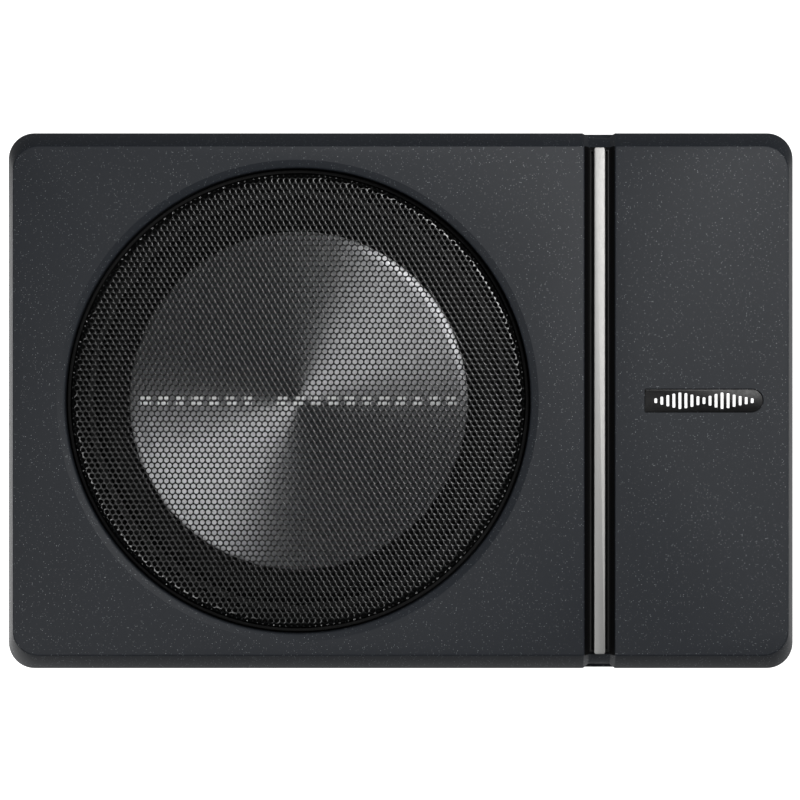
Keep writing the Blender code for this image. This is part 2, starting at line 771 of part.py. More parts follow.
def magnet():
    """Yoke with its vented pole, ferrite ring and top plate: the coil hangs in the gap round the pole."""
    place = (DRIVER_X, 0, 0)
    pole, vent = COIL_RADIUS - 1 * MM, 6 * MM
    yoke_bottom, yoke_top = CHASSIS_FLOOR_Z + 0.5 * MM, 11.7 * MM
    profile = [
        (pole, TOP_PLATE_TOP_Z),
        (pole, yoke_top),
        (50 * MM, yoke_top),
        (50 * MM, yoke_bottom + 1 * MM),
        (49 * MM, yoke_bottom),
        (vent, yoke_bottom),
        (vent, TOP_PLATE_TOP_Z),
    ]
    turned("pole_yoke", profile, ZINC_STEEL, place)
    turned("ring_magnet", ring(31 * MM, 55 * MM, yoke_top + GAP, 22 * MM), FERRITE, place)
    plate = ring(COIL_RADIUS + 2.8 * MM, 52 * MM, 22 * MM + GAP, TOP_PLATE_TOP_Z)
    turned("top_plate", plate, ZINC_STEEL, place)


def moving_assembly():
    """The cone, the pulp cone that stiffens it and the voice coil: one body that slides along the axis."""
    place = (DRIVER_X, 0, 0)
    dish_depth, flat_from, rim_z = 5 * MM, 69 * MM, 52.9 * MM
    quarters = [k / 4 for k in range(5)]
    line = [(flat_from * part, rim_z - dish_depth * (1 - part**2)) for part in quarters]
    line.append((CONE_RADIUS, rim_z))
    turned("cone", strip(line, CONE_THICKNESS), CONE_ALUMINIUM, place, steps=CONE_STEPS)
    neck, neck_z = COIL_RADIUS + 1 * MM, 42 * MM
    support = [(neck, neck_z), (neck + 3 * MM, neck_z + 1.2 * MM), (64 * MM, 50.6 * MM)]
    turned("support_cone", strip(support, 0.8 * MM), PAPER_PULP, place)
    former = ring(COIL_RADIUS - 0.5 * MM, COIL_RADIUS + 0.3 * MM, 17.5 * MM, 47.6 * MM)
    turned("voice_coil_former", former, BAR_ALUMINIUM, place)
    winding = ring(COIL_RADIUS + 0.6 * MM, COIL_RADIUS + 2 * MM, 18 * MM, 32 * MM)
    turned("voice_coil_winding", winding, COPPER, place)


def suspension():
    """The rubber surround and the corrugated spider, which let the cone travel along its axis only."""
    place = (DRIVER_X, 0, 0)
    roll, middle_r, foot_z = 6.6 * MM, 81.7 * MM, 52.4 * MM
    line = [(70.2 * MM, 51.5 * MM), (73.8 * MM, 51.5 * MM)]
    for step in range(7):
        angle = math.radians(180 - 30 * step)
        line.append((middle_r + roll * math.cos(angle), foot_z + roll * math.sin(angle)))
    line += [(89.4 * MM, 52.9 * MM), (92 * MM, 52.9 * MM)]
    turned("surround", strip(line, 1 * MM), RUBBER, place, steps=CONE_STEPS)
    turned("driver_gasket", ring(89.2 * MM, 92.1 * MM, 53.7 * MM, 55.2 * MM), FOAM, place)

    inner, outer, waves, height = 27.5 * MM, 50.5 * MM, 3, 1.1 * MM
    z = SPIDER_LEDGE_Z + GAP + 0.35 * MM
    line = [(COIL_RADIUS + 0.9 * MM, z)]
    for step in range(waves * 2):
        r = inner + (outer - inner) * (step + 0.5) / (waves * 2)
        line.append((r, z + (height if step % 2 else -height)))
    line.append((58.8 * MM, z))
    turned("spider", strip(line, 0.6 * MM), SPIDER_CLOTH, place)


def smooth_route(points, per_leg):
    """Points along one smooth curve through a cord's own points."""
    knots = [Vector(p) for p in points]
    line = []
    for i in range(len(knots) - 1):
        before, start, end = knots[max(i - 1, 0)], knots[i], knots[i + 1]
        after = knots[min(i + 2, len(knots) - 1)]
        for step in range(per_leg):
            t = step / per_leg
            line.append(
                0.5
                * (
                    2 * start
                    + (end - before) * t
                    + (2 * before - 5 * start + 4 * end - after) * t * t
                    + (3 * start - before - 3 * end + after) * t**3
                )
            )
    return line + [knots[-1]]


def lead(name, route, radius, finish):
    curve = bpy.data.curves.new(name, "CURVE")
    curve.dimensions = "3D"
    curve.bevel_depth = radius
    curve.bevel_resolution = 2
    curve.use_fill_caps = True
    line = curve.splines.new("POLY")
    points = smooth_route(route, 3)
    line.points.add(len(points) - 1)
    for point, place in zip(line.points, points):
        point.co = (*place, 1)
    return add(name, curve, finish)


def driver_wiring():
    """The driver's terminal block under one spoke, and two leads from it to the board."""
    near, far = DRIVER_X + 61.4 * MM, DRIVER_X + 69 * MM
    box("driver_terminal", (near, -9 * MM, 28.6 * MM), (far, 9 * MM, 35.4 * MM), BLACK_PLASTIC)
    leads = (("speaker_lead_red", 1, RED_SLEEVE), ("speaker_lead_black", -1, BLACK_SLEEVE))
    for name, side, finish in leads:
        hole = LEAD_HOLE_Y + side * 2.3 * MM
        route = [
            (far + GAP, side * 5 * MM, 32 * MM),
            (far + 9 * MM, side * 5 * MM, 30.5 * MM),
            (PARTITION_X - 14 * MM, hole - 1 * MM, 24 * MM),
            (PARTITION_X, hole, LEAD_HOLE_Z),
            (PARTITION_X + 8 * MM, hole, LEAD_HOLE_Z - 0.3 * MM),
            (PARTITION_X + 14 * MM, LEAD_HOLE_Y + side * 4 * MM, 19 * MM),
            (PARTITION_X + 15 * MM, LEAD_HOLE_Y + side * 4 * MM, BOARD_TOP_Z + GAP),
        ]
        lead(name, route, 1.1 * MM, finish)


# ---------------------------------------------------------------- amplifier


def circuit_board():
    outline = [
        (70 * MM, -95 * MM),
        (157 * MM, -95 * MM),
        (157 * MM, 90 * MM),
        (140 * MM, 90 * MM),
        (140 * MM, 101.5 * MM),
        (70 * MM, 101.5 * MM),
    ]
    plate("circuit_board", outline, BOARD_TOP_Z - 1.6 * MM, BOARD_TOP_Z, BOARD_GREEN)
    seat = BOARD_TOP_Z + GAP
    choke_r, core_r = 13 * MM, 6.5 * MM
    core = [
        (choke_r + core_r * math.cos(a), seat + core_r + core_r * math.sin(a))
        for a in (-math.tau * k / 8 for k in range(8))
    ]
    turned("toroid_choke", core, COPPER, (98 * MM, -60 * MM, 0), steps=16)
    for number, y in enumerate((36 * MM, 58 * MM, 80 * MM), 1):
        radius, top = 9 * MM, seat + 32 * MM
        profile = [
            (0, top),
            (radius - 1 * MM, top),
            (radius, top - 1 * MM),
            (radius, seat + 3.4 * MM),
            (radius - 0.8 * MM, seat + 2.8 * MM),
            (radius, seat + 2.2 * MM),
            (radius, seat),
            (0, seat),
        ]
        turned(f"capacitor_{number}", profile, CAPACITOR_SLEEVE, (87 * MM, y, 0), steps=14)


def power_transistors():
    """Two output transistors stand on their legs and are pressed against the finned wall by a bar."""
    wall_y = CHASSIS_DEPTH / 2 - 12.3 * MM
    back, front = wall_y - GAP, wall_y - 4.8 * MM
    for number, x in enumerate((104 * MM, 122 * MM), 1):
        low, high = (x - 5 * MM, front, 21 * MM), (x + 5 * MM, back, 37 * MM)
        device = box(f"power_transistor_{number}", low, high, EPOXY_BLACK)
        legs = [
            box(
                f"leg_{number}_{k + 2}",
                (x + k * 2.54 * MM - 0.4 * MM, front + 1.6 * MM, BOARD_TOP_Z + GAP),
                (x + k * 2.54 * MM + 0.4 * MM, front + 2.4 * MM, 23 * MM),
                collection=TOOLS,
            )
            for k in (-1, 0, 1)
        ]
        join(device, *legs)
    box("heat_clamp_bar", (95 * MM, front - 3 * MM, 26 * MM), (131 * MM, front - GAP, 33 * MM), ZINC_STEEL)


def housing(name, y, width, height, mouth_x, finish):
    """A housing that stands on the board and comes out through a window in the bay's back wall."""
    back_x, bottom = 145 * MM, SOCKET_Z - height / 2
    body = box(name, (back_x, y - width / 2, bottom), (mouth_x, y + width / 2, bottom + height), finish)
    foot = box(
        f"{name}_foot",
        (back_x, y - width / 2, BOARD_TOP_Z + GAP),
        (BAY_BACK_X - GAP, y + width / 2, bottom + 1 * MM),
        collection=TOOLS,
    )
    window = (y - width / 2 - GAP, y + width / 2 + GAP, bottom - GAP, bottom + height + GAP)
    return join(body, foot), window


def socket(name, y, width, height, mouth_x, pins, finish):
    """A shrouded socket: an open-fronted housing with a row of pins at the back of it."""
    shroud, cavity_back = 1.4 * MM, mouth_x - 12 * MM
    body, window = housing(name, y, width, height, mouth_x, finish)
    half_width, half_height = width / 2 - shroud, height / 2 - shroud
    cut(
        body,
        box(
            f"{name}_cavity",
            (cavity_back, y - half_width, SOCKET_Z - half_height),
            (mouth_x + 3 * MM, y + half_width, SOCKET_Z + half_height),
            collection=TOOLS,
        ),
    )
    pin, pitch = 0.7 * MM, 2 * half_width / pins
    rows = []
    for number in range(pins):
        middle = y - half_width + (number + 0.5) * pitch
        rows.append(
            box(
                f"{name}_pin_{number + 1}",
                (cavity_back - 2 * MM, middle - pin, SOCKET_Z - pin),
                (cavity_back + 4 * MM, middle + pin, SOCKET_Z + pin),
                collection=TOOLS,
            )
        )
    join(body, *rows)
    return window


def phono_jacks():
    """A block with the two line-input jacks, whose barrels stand out of the bay's back wall."""
    block = box(
        "line_input_jacks",
        (146 * MM, PHONO_Y[0] - 7.5 * MM, BOARD_TOP_Z + GAP),
        (BAY_BACK_X - GAP, PHONO_Y[1] + 7.5 * MM, 34 * MM),
        BLACK_PLASTIC,
    )
    barrels, bores = [], []
    for number, y in enumerate(PHONO_Y, 1):
        barrels.append(
            rod(
                f"barrel_{number}",
                4.15 * MM,
                (150 * MM, y, SOCKET_Z),
                (167.6 * MM, y, SOCKET_Z),
                collection=TOOLS,
                segments=20,
            )
        )
        bores.append(
            rod(
                f"bore_{number}",
                1.7 * MM,
                (156 * MM, y, SOCKET_Z),
                (170 * MM, y, SOCKET_Z),
                collection=TOOLS,
            )
        )
    join(block, *barrels)
    return cut(block, *bores)


def rotary_control(name, y):
    """A potentiometer behind the bay's wall, and the small knob on its shaft."""
    pot = box(
        f"{name}_pot",
        (147 * MM, y - 5.5 * MM, BOARD_TOP_Z + GAP),
        (BAY_BACK_X - GAP, y + 5.5 * MM, SOCKET_Z + 6.5 * MM),
        BLACK_PLASTIC,
    )
    start, end = (151 * MM, y, SOCKET_Z), (160 * MM, y, SOCKET_Z)
    cut(pot, rod(f"{name}_bush", 2.4 * MM, start, end, collection=TOOLS, segments=16))
    shaft, grip, skirt = 1.8 * MM, 3.9 * MM, 4.4 * MM
    start, collar, face = 151.6 * MM, BAY_FACE_X + 0.8 * MM, 167.4 * MM
    profile = [
        (0, face - start),
        (grip - 0.5 * MM, face - start),
        (grip, face - start - 0.6 * MM),
        (skirt, collar - start + 1 * MM),
        (skirt, collar - start),
        (shaft, collar - start),
        (shaft, 0),
        (0, 0),
    ]
    knob = turned(f"{name}_knob", profile, KNOB_GREY, (start, y, SOCKET_Z), (0, math.pi / 2, 0), steps=20)
    cut(
        knob,
        box(
            f"{name}_pointer",
            (face - 1 * MM, y - 0.45 * MM, SOCKET_Z - 0.5 * MM),
            (face + 1 * MM, y + 0.45 * MM, SOCKET_Z + 6 * MM),
            collection=TOOLS,
        ),
    )


def phase_control():
    """A two-way slide switch: its body behind the wall and its slider through a slot."""
    body = box(
        "phase_switch",
        (149 * MM, PHASE_Y - 6.5 * MM, BOARD_TOP_Z + GAP),
        (BAY_BACK_X - GAP, PHASE_Y + 6.5 * MM, SOCKET_Z + 4 * MM),
        BLACK_PLASTIC,
    )
    cut(
        body,
        box(
            "slider_track",
            (153 * MM, PHASE_Y - 4.6 * MM, SOCKET_Z - 1.9 * MM),
            (160 * MM, PHASE_Y + 4.6 * MM, SOCKET_Z + 1.9 * MM),
            collection=TOOLS,
        ),
    )
    half_travel = PHASE_TRAVEL / 2
    box(
        "phase_slider",
        (153.5 * MM, PHASE_Y - half_travel - 2.2 * MM, SOCKET_Z - 1.5 * MM),
        (164.5 * MM, PHASE_Y - half_travel + 2.2 * MM, SOCKET_Z + 1.5 * MM),
        KNOB_GREY,
    )


def fuse():
    """The fuse holder and the blade fuse that stands out of it."""
    holder, window = housing("fuse_holder", FUSE_Y, 16 * MM, 9 * MM, 162.5 * MM, BLACK_PLASTIC)
    cut(
        holder,
        box(
            "fuse_slot",
            (149 * MM, FUSE_Y - 6.6 * MM, SOCKET_Z - 2.2 * MM),
            (165 * MM, FUSE_Y + 6.6 * MM, SOCKET_Z + 2.2 * MM),
            collection=TOOLS,
        ),
    )
    body = box(
        "blade_fuse",
        (159 * MM, FUSE_Y - 6 * MM, SOCKET_Z - 1.8 * MM),
        (167.5 * MM, FUSE_Y + 6 * MM, SOCKET_Z + 1.8 * MM),
        FUSE_PLASTIC,
    )
    blades = [
        box(
            f"blade_{number}",
            (150 * MM, y - 1.3 * MM, SOCKET_Z - 0.4 * MM),
            (160 * MM, y + 1.3 * MM, SOCKET_Z + 0.4 * MM),
            collection=TOOLS,
        )
        for number, y in enumerate((FUSE_Y - 3.9 * MM, FUSE_Y + 3.9 * MM), 1)
    ]
    join(body, *blades)
    return window


def status_light():
    profile = [
        (0, 6.4 * MM),
        (1.1 * MM, 6.1 * MM),
        (1.9 * MM, 5.2 * MM),
        (1.9 * MM, 0.6 * MM),
        (2.6 * MM, 0.6 * MM),
        (2.6 * MM, 0),
        (0, 0),
    ]
    place = (BAY_BACK_X - 1.5 * MM, LIGHT_Y, SOCKET_Z)
    turned("status_light", profile, LED_LENS, place, (0, math.pi / 2, 0), steps=16)


def connector_bay(windows):
    """The tray in the chassis's end wall: everything in it passes through its back wall."""
    tray = box(
        "connector_bay",
        (BAY_BACK_X, -BAY_HALF_WIDTH, BAY_BOTTOM_Z),
        (BAY_MOUTH_X, BAY_HALF_WIDTH, CHASSIS_RIM_Z - GAP),
        BAY_PLASTIC,
    )
    side, floor = 2.5 * MM, 2.5 * MM
    cutters = [
        box(
            "bay_inside",
            (BAY_FACE_X, -BAY_HALF_WIDTH + side, BAY_BOTTOM_Z + floor),
            (BAY_MOUTH_X + 5 * MM, BAY_HALF_WIDTH - side, CHASSIS_RIM_Z - GAP - floor),
            collection=TOOLS,
        )
    ]
    behind, before = BAY_BACK_X - 3 * MM, BAY_FACE_X + 2 * MM
    for number, (low_y, high_y, low_z, high_z) in enumerate(windows, 1):
        low, high = (behind, low_y, low_z), (before, high_y, high_z)
        cutters.append(box(f"bay_window_{number}", low, high, collection=TOOLS))
    for number, (y, radius) in enumerate(BAY_HOLES, 1):
        start, end = (behind, y, SOCKET_Z), (before, y, SOCKET_Z)
        cutters.append(
            rod(f"bay_hole_{number}", radius, start, end, collection=TOOLS, segments=16)
        )
    return cut(tray, *cutters)


# ---------------------------------------------------------------- build

for old in list(bpy.data.objects):
    bpy.data.objects.remove(old)

PARTS = new_collection("powered_subwoofer")
TOOLS = new_collection("cutters")

COVER_PAINT = material("cover_paint", (0.045, 0.049, 0.055), 0.5)
CAST_ALUMINIUM = material("cast_aluminium", (0.03, 0.03, 0.032), 0.55, 0.6)
BLACK_PLASTIC = material("black_plastic", (0.012, 0.012, 0.013), 0.45)
BAY_PLASTIC = material("bay_plastic", (0.02, 0.02, 0.022), 0.6)
KNOB_GREY = material("knob_grey", (0.16, 0.165, 0.17), 0.5)
RUBBER = material("rubber", (0.014, 0.014, 0.014), 0.8)
FOAM = material("foam", (0.02, 0.02, 0.02), 0.95)
GRILLE_STEEL = material("grille_steel", (0.02, 0.02, 0.021), 0.4, 0.7)
BAR_ALUMINIUM = material("bar_aluminium", (0.72, 0.72, 0.72), 0.35, 1.0)
CONE_ALUMINIUM = material("cone_aluminium", (0.42, 0.42, 0.43), 0.3, 1.0)
BADGE_PLASTIC = material("badge_plastic", (0.01, 0.01, 0.011), 0.2)
ZINC_STEEL = material("zinc_steel", (0.5, 0.5, 0.5), 0.4, 1.0)
BLACK_STEEL = material("black_steel", (0.03, 0.03, 0.03), 0.45, 0.8)
FERRITE = material("ferrite", (0.045, 0.043, 0.043), 0.6)
PAPER_PULP = material("paper_pulp", (0.03, 0.03, 0.03), 0.9)
SPIDER_CLOTH = material("spider_cloth", (0.45, 0.3, 0.12), 0.9)
COPPER = material("copper", (0.6, 0.25, 0.12), 0.35, 1.0)
BOARD_GREEN = material("board_green", (0.01, 0.09, 0.035), 0.5)
CAPACITOR_SLEEVE = material("capacitor_sleeve", (0.02, 0.025, 0.05), 0.35)
EPOXY_BLACK = material("epoxy_black", (0.015, 0.015, 0.015), 0.5)
RED_SLEEVE = material("red_sleeve", (0.45, 0.02, 0.015), 0.5)
BLACK_SLEEVE = material("black_sleeve", (0.01, 0.01, 0.01), 0.5)
FUSE_PLASTIC = material("fuse_plastic", (0.02, 0.13, 0.45), 0.25)
LED_LENS = material("led_lens", (0.05, 0.4, 0.08), 0.15)
SOCKET_WHITE = material("socket_white", (0.6, 0.59, 0.55), 0.45)

top_cover()
bottom_chassis()
chassis_gasket()
amp_partition()
rubber_feet()
case_screws()
top_trim()
grille()

basket()
magnet()
moving_assembly()
suspension()
driver_wiring()

circuit_board()
power_transistors()
phono_jacks()
rotary_control("crossover", CROSSOVER_Y)
rotary_control("gain", GAIN_Y)
phase_control()
status_light()
bay_windows = [
    socket("power_socket", POWER_Y, 22 * MM, 13 * MM, SOCKET_FACE_X, 4, BLACK_PLASTIC),
    socket("speaker_input_socket", SPEAKER_Y, 18 * MM, 11 * MM, SOCKET_FACE_X, 4, SOCKET_WHITE),
    socket("remote_socket", REMOTE_Y, 12.6 * MM, 10 * MM, 162.5 * MM, 4, BLACK_PLASTIC),
    fuse(),
    (PHASE_Y - 4.6 * MM, PHASE_Y + 4.6 * MM, SOCKET_Z - 1.9 * MM, SOCKET_Z + 1.9 * MM),
]
connector_bay(bay_windows)
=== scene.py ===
# %% [markdown]
# # An under-seat subwoofer, step by step
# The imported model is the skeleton: its solids have the right sizes, places and joints, but flat facets and
# one colour each. Here the parts that the eye meets are modelled again with smooth curves, rolled edges and
# real finishes, and the hidden ones keep their solids and get a finish of their own.
# Everything is in metres, with +Z out of the grille and +X towards the socket bay.

import math

import bmesh
import bpy
from mathutils import Matrix, Vector


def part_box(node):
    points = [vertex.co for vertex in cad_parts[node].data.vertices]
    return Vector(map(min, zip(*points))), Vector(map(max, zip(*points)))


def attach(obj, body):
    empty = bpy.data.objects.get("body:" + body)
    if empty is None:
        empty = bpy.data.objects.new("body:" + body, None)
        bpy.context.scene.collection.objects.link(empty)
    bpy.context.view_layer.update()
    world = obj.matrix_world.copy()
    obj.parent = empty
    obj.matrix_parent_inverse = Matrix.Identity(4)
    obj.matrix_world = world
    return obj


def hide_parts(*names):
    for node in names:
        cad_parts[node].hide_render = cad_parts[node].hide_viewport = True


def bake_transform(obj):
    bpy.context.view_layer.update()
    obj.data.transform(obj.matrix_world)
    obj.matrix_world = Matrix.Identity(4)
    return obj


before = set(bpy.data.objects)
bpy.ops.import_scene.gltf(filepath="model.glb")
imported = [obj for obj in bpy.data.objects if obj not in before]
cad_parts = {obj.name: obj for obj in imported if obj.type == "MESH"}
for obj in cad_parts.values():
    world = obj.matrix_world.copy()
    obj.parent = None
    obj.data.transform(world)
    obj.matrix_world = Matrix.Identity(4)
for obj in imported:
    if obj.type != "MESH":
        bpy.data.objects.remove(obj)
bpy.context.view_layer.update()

MM = 0.001
CASE, CONE_BODY = "case", "cone_assembly"

# %% Take the main sizes from the frame
cover_low, cover_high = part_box("top_cover")
chassis_low, chassis_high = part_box("bottom_chassis")
ring_low, ring_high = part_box("grille_ring")
bar_low, bar_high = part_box("trim_bar")
badge_low, badge_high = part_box("badge_plate")

TOP_Z = cover_high.z
HALF_LENGTH, HALF_DEPTH = cover_high.x, cover_high.y
DRIVER = Vector(((ring_low.x + ring_high.x) / 2, 0, 0))
RING_RADIUS = (ring_high.x - ring_low.x) / 2
OPENING_RADIUS = RING_RADIUS + 0.6 * MM
GROOVE_X = (bar_low.x + bar_high.x) / 2

# %% [markdown]
# ## Helpers for shaders
# A shader is a small program drawn as boxes and wires. A few helpers keep it short in a script: one makes a
# box and wires its inputs, and others do a sum, stretch a range or mix two colours.

# %% Node helpers
def new_group(name, inputs, outputs):
    """An empty shader group. inputs and outputs are (name, socket type, default)."""
    tree = bpy.data.node_groups.new(name, "ShaderNodeTree")
    for direction, rows in (("INPUT", inputs), ("OUTPUT", outputs)):
        for label, kind, default in rows:
            socket = tree.interface.new_socket(name=label, in_out=direction, socket_type=kind)
            if default is not None:
                socket.default_value = default
    return tree, tree.nodes.new("NodeGroupInput"), tree.nodes.new("NodeGroupOutput")


def node(tree, kind, values=None, **settings):
    """A node with its settings, and its inputs given by name or number: a value, or a socket to link."""
    made = tree.nodes.new(kind)
    for key, value in settings.items():
        setattr(made, key, value)
    for key, value in (values or {}).items():
        socket = made.inputs[key]
        if isinstance(value, bpy.types.NodeSocket):
            tree.links.new(value, socket)
        else:
            socket.default_value = value
    return made


def maths(tree, operation, first, second=0.0, clamp=False):
    return node(tree, "ShaderNodeMath", {0: first, 1: second}, operation=operation, use_clamp=clamp).outputs[0]


def remap(tree, value, low, high, to_low, to_high):
    values = {"Value": value, "From Min": low, "From Max": high, "To Min": to_low, "To Max": to_high}
    return node(tree, "ShaderNodeMapRange", values).outputs["Result"]


def mix_colour(tree, share, first, second):
    made = node(tree, "ShaderNodeMix", data_type="RGBA")
    for index, value in ((0, share), (6, first), (7, second)):
        if isinstance(value, bpy.types.NodeSocket):
            tree.links.new(value, made.inputs[index])
        else:
            made.inputs[index].default_value = value
    return made.outputs[2]


FLOAT, COLOUR, VECTOR = "NodeSocketFloat", "NodeSocketColor", "NodeSocketVector"

# %% [markdown]
# ## Floor, light and camera
# The case is seen from straight above through a long lens, so that its sides vanish and its outline stays
# true. It is dark and half-glossy: its look comes mostly from what it reflects. So the floor round it glows
# in the reflections only where the bevels should be bright, and looks plain white to the camera.

# %% Floor
FADE_START, FADE_END = 185 * MM, 260 * MM  # outwards from the case
BACK_START, BACK_END = 80 * MM, 130 * MM  # towards the back
LEFT_START, LEFT_END = -165 * MM, -185 * MM  # towards the left end
FAR_GLOW, LEFT_GLOW = 0.1, 2.2


def link(obj):
    bpy.context.scene.collection.objects.link(obj)
    return obj


def mesh_object(name, bm):
    mesh = bpy.data.meshes.new(name)
    bm.to_mesh(mesh)
    bm.free()
    return link(bpy.data.objects.new(name, mesh))


floor_bm = bmesh.new()
bmesh.ops.create_grid(floor_bm, x_segments=1, y_segments=1, size=3)
floor = mesh_object("studio_floor", floor_bm)
floor_paint = bpy.data.materials.new("studio_white")
floor_paint.use_nodes = True
tree = floor_paint.node_tree
shader = tree.nodes["Principled BSDF"]
shader.inputs["Roughness"].default_value = 0.9
shader.inputs["Specular IOR Level"].default_value = 0.1
shader.inputs["Base Color"].default_value = (0.25, 0.25, 0.25, 1)
shader.inputs["Emission Strength"].default_value = 1.3
where = node(tree, "ShaderNodeTexCoord").outputs["Object"]
place = node(tree, "ShaderNodeSeparateXYZ", {0: where})
outward = node(tree, "ShaderNodeVectorMath", {0: where}, operation="ABSOLUTE")
shaped = node(tree, "ShaderNodeVectorMath", {0: outward.outputs[0], 1: (0.72, 1, 1)}, operation="MULTIPLY")
reach = node(tree, "ShaderNodeSeparateXYZ", {0: shaped.outputs[0]})
farthest = maths(tree, "MAXIMUM", reach.outputs["X"], reach.outputs["Y"])
fade = remap(tree, farthest, FADE_START, FADE_END, 1.0, FAR_GLOW)
back = remap(tree, place.outputs["Y"], BACK_START, BACK_END, 1.0, FAR_GLOW)
left = remap(tree, place.outputs["X"], LEFT_START, LEFT_END, 1.0, LEFT_GLOW)
glow = maths(tree, "MULTIPLY", fade, maths(tree, "MULTIPLY", back, left))
seen = node(tree, "ShaderNodeLightPath").outputs["Is Camera Ray"]
tree.links.new(maths(tree, "MAXIMUM", glow, seen), shader.inputs["Emission Color"])
floor.data.materials.append(floor_paint)
print("floor glow:", FAR_GLOW, "to", LEFT_GLOW)

# %% [markdown]
# Two long soft lights stand across the case's diagonal, where they draw the bright fan on the spun cone, and
# a small one lifts the right side. The world is almost black to everything but the camera, so that the
# bevels and the grille stay deep.

# %% World and lamps
scene = bpy.context.scene
scene.view_settings.view_transform = "Standard"
world = bpy.data.worlds.new("soft_studio")
world.use_nodes = True
tree = world.node_tree
pale = tree.nodes["Background"]
pale.inputs["Color"].default_value = (1, 1, 1, 1)
pale.inputs["Strength"].default_value = 0.92
dim = node(tree, "ShaderNodeBackground", {"Color": (0.86, 0.93, 1.0, 1), "Strength": 0.05})
seen = node(tree, "ShaderNodeLightPath").outputs["Is Camera Ray"]
sky = node(tree, "ShaderNodeMixShader", {0: seen, 1: dim.outputs[0], 2: pale.outputs[0]})
tree.links.new(sky.outputs[0], tree.nodes["World Output"].inputs[0])
scene.world = world


def soft_light(name, azimuth, elevation, distance, width, height, power):
    """An area light that looks at the case's middle from a bearing counted anticlockwise from +X."""
    lamp = bpy.data.lights.new(name, "AREA")
    lamp.shape = "RECTANGLE"
    lamp.size, lamp.size_y, lamp.energy = width, height, power
    a, e = math.radians(azimuth), math.radians(elevation)
    place = Vector((math.cos(a) * math.cos(e), math.sin(a) * math.cos(e), math.sin(e))) * distance
    obj = link(bpy.data.objects.new(name, lamp))
    obj.location = place
    obj.rotation_euler = (-place).to_track_quat("-Z", "Y").to_euler()
    obj.visible_camera = False


soft_light("key_box", 45, 63, 1.2, 0.55, 0.4, 8.3)
soft_light("fill_box", 215, 63, 1.2, 0.5, 0.35, 3.4)
soft_light("side_box", 15, 60, 1.25, 0.3, 0.35, 1.1)

# %% [markdown]
# The camera looks straight down. Its distance follows from the lens and from how wide a strip it has to
# hold at the level where the outline is widest.

# %% Camera
LENS, SENSOR, VIEW_WIDTH = 200, 36, 346.9 * MM
SHOULDER_Z = TOP_Z - 9 * MM  # the outline's widest level
camera = bpy.data.cameras.new("above")
camera.lens, camera.sensor_width = LENS, SENSOR
camera_object = link(bpy.data.objects.new("above", camera))
camera_distance = VIEW_WIDTH * LENS / SENSOR
camera_object.location = (-0.3 * MM, 0.3 * MM, SHOULDER_Z + camera_distance)
camera.clip_start, camera.clip_end = 0.1, 10
scene.camera = camera_object
print("camera height", round(camera_distance, 2), "m")

# %% [markdown]
# ## Finishes
# Each finish is a Principled BSDF whose colour, roughness and relief vary a little over the surface. What
# several finishes share is built once as a node group with named inputs and outputs: a fine moulded or
# sprayed grain, wear where an edge is handled, and the straight lines of brushed metal.

# %% [markdown]
# Sprayed paint, moulded plastic and cast metal all have a fine relief. Noise of a fraction of a millimetre
# makes it, and a second, slow noise lets the tone drift over a few centimetres.

# %% Grain: a fine sprayed or moulded relief with a slow drift in tone
grain_group, ends, out = new_group(
    "fine_grain",
    [("Cell Size", FLOAT, 0.5), ("Drift Size", FLOAT, 40.0)],
    [("Height", FLOAT, None), ("Drift", FLOAT, None)],
)
where = node(grain_group, "ShaderNodeTexCoord").outputs["Object"]
pitch = maths(grain_group, "DIVIDE", 1000.0, ends.outputs["Cell Size"])
fine = node(grain_group, "ShaderNodeTexNoise", {"Vector": where, "Scale": pitch, "Detail": 2.0})
slow_pitch = maths(grain_group, "DIVIDE", 1000.0, ends.outputs["Drift Size"])
slow = node(grain_group, "ShaderNodeTexNoise", {"Vector": where, "Scale": slow_pitch, "Detail": 3.0})
grain_group.links.new(fine.outputs[0], out.inputs["Height"])
grain_group.links.new(slow.outputs[0], out.inputs["Drift"])

# %% [markdown]
# Edges that are handled rub bright. The mask compares the true normal with one rounded by a bevel node: they
# differ only near an edge.

# %% Edge wear: a mask that is 1 on rounded edges, broken up by noise
wear_group, ends, out = new_group(
    "edge_wear",
    [("Width", FLOAT, 0.6), ("Share", FLOAT, 0.5)],
    [("Wear", FLOAT, None)],
)
radius = maths(wear_group, "MULTIPLY", ends.outputs["Width"], 0.001)
rounded = node(wear_group, "ShaderNodeBevel", {"Radius": radius}, samples=4)
flat = node(wear_group, "ShaderNodeNewGeometry").outputs["Normal"]
facing = node(wear_group, "ShaderNodeVectorMath", {0: rounded.outputs[0], 1: flat}, operation="DOT_PRODUCT")
edge = remap(wear_group, facing.outputs["Value"], 0.995, 0.9, 0.0, 1.0)
where = node(wear_group, "ShaderNodeTexCoord").outputs["Object"]
patchy = node(wear_group, "ShaderNodeTexNoise", {"Vector": where, "Scale": 160.0, "Detail": 5.0}).outputs[0]
kept = remap(wear_group, patchy, 0.35, 0.7, 0.0, 1.0)
broken = maths(wear_group, "MULTIPLY", edge, kept)
worn = maths(wear_group, "MULTIPLY", broken, ends.outputs["Share"])
wear_group.links.new(worn, out.inputs["Wear"])

# %% [markdown]
# Brushing leaves fine scratches in one direction. Noise squeezed along one axis looks just like them.

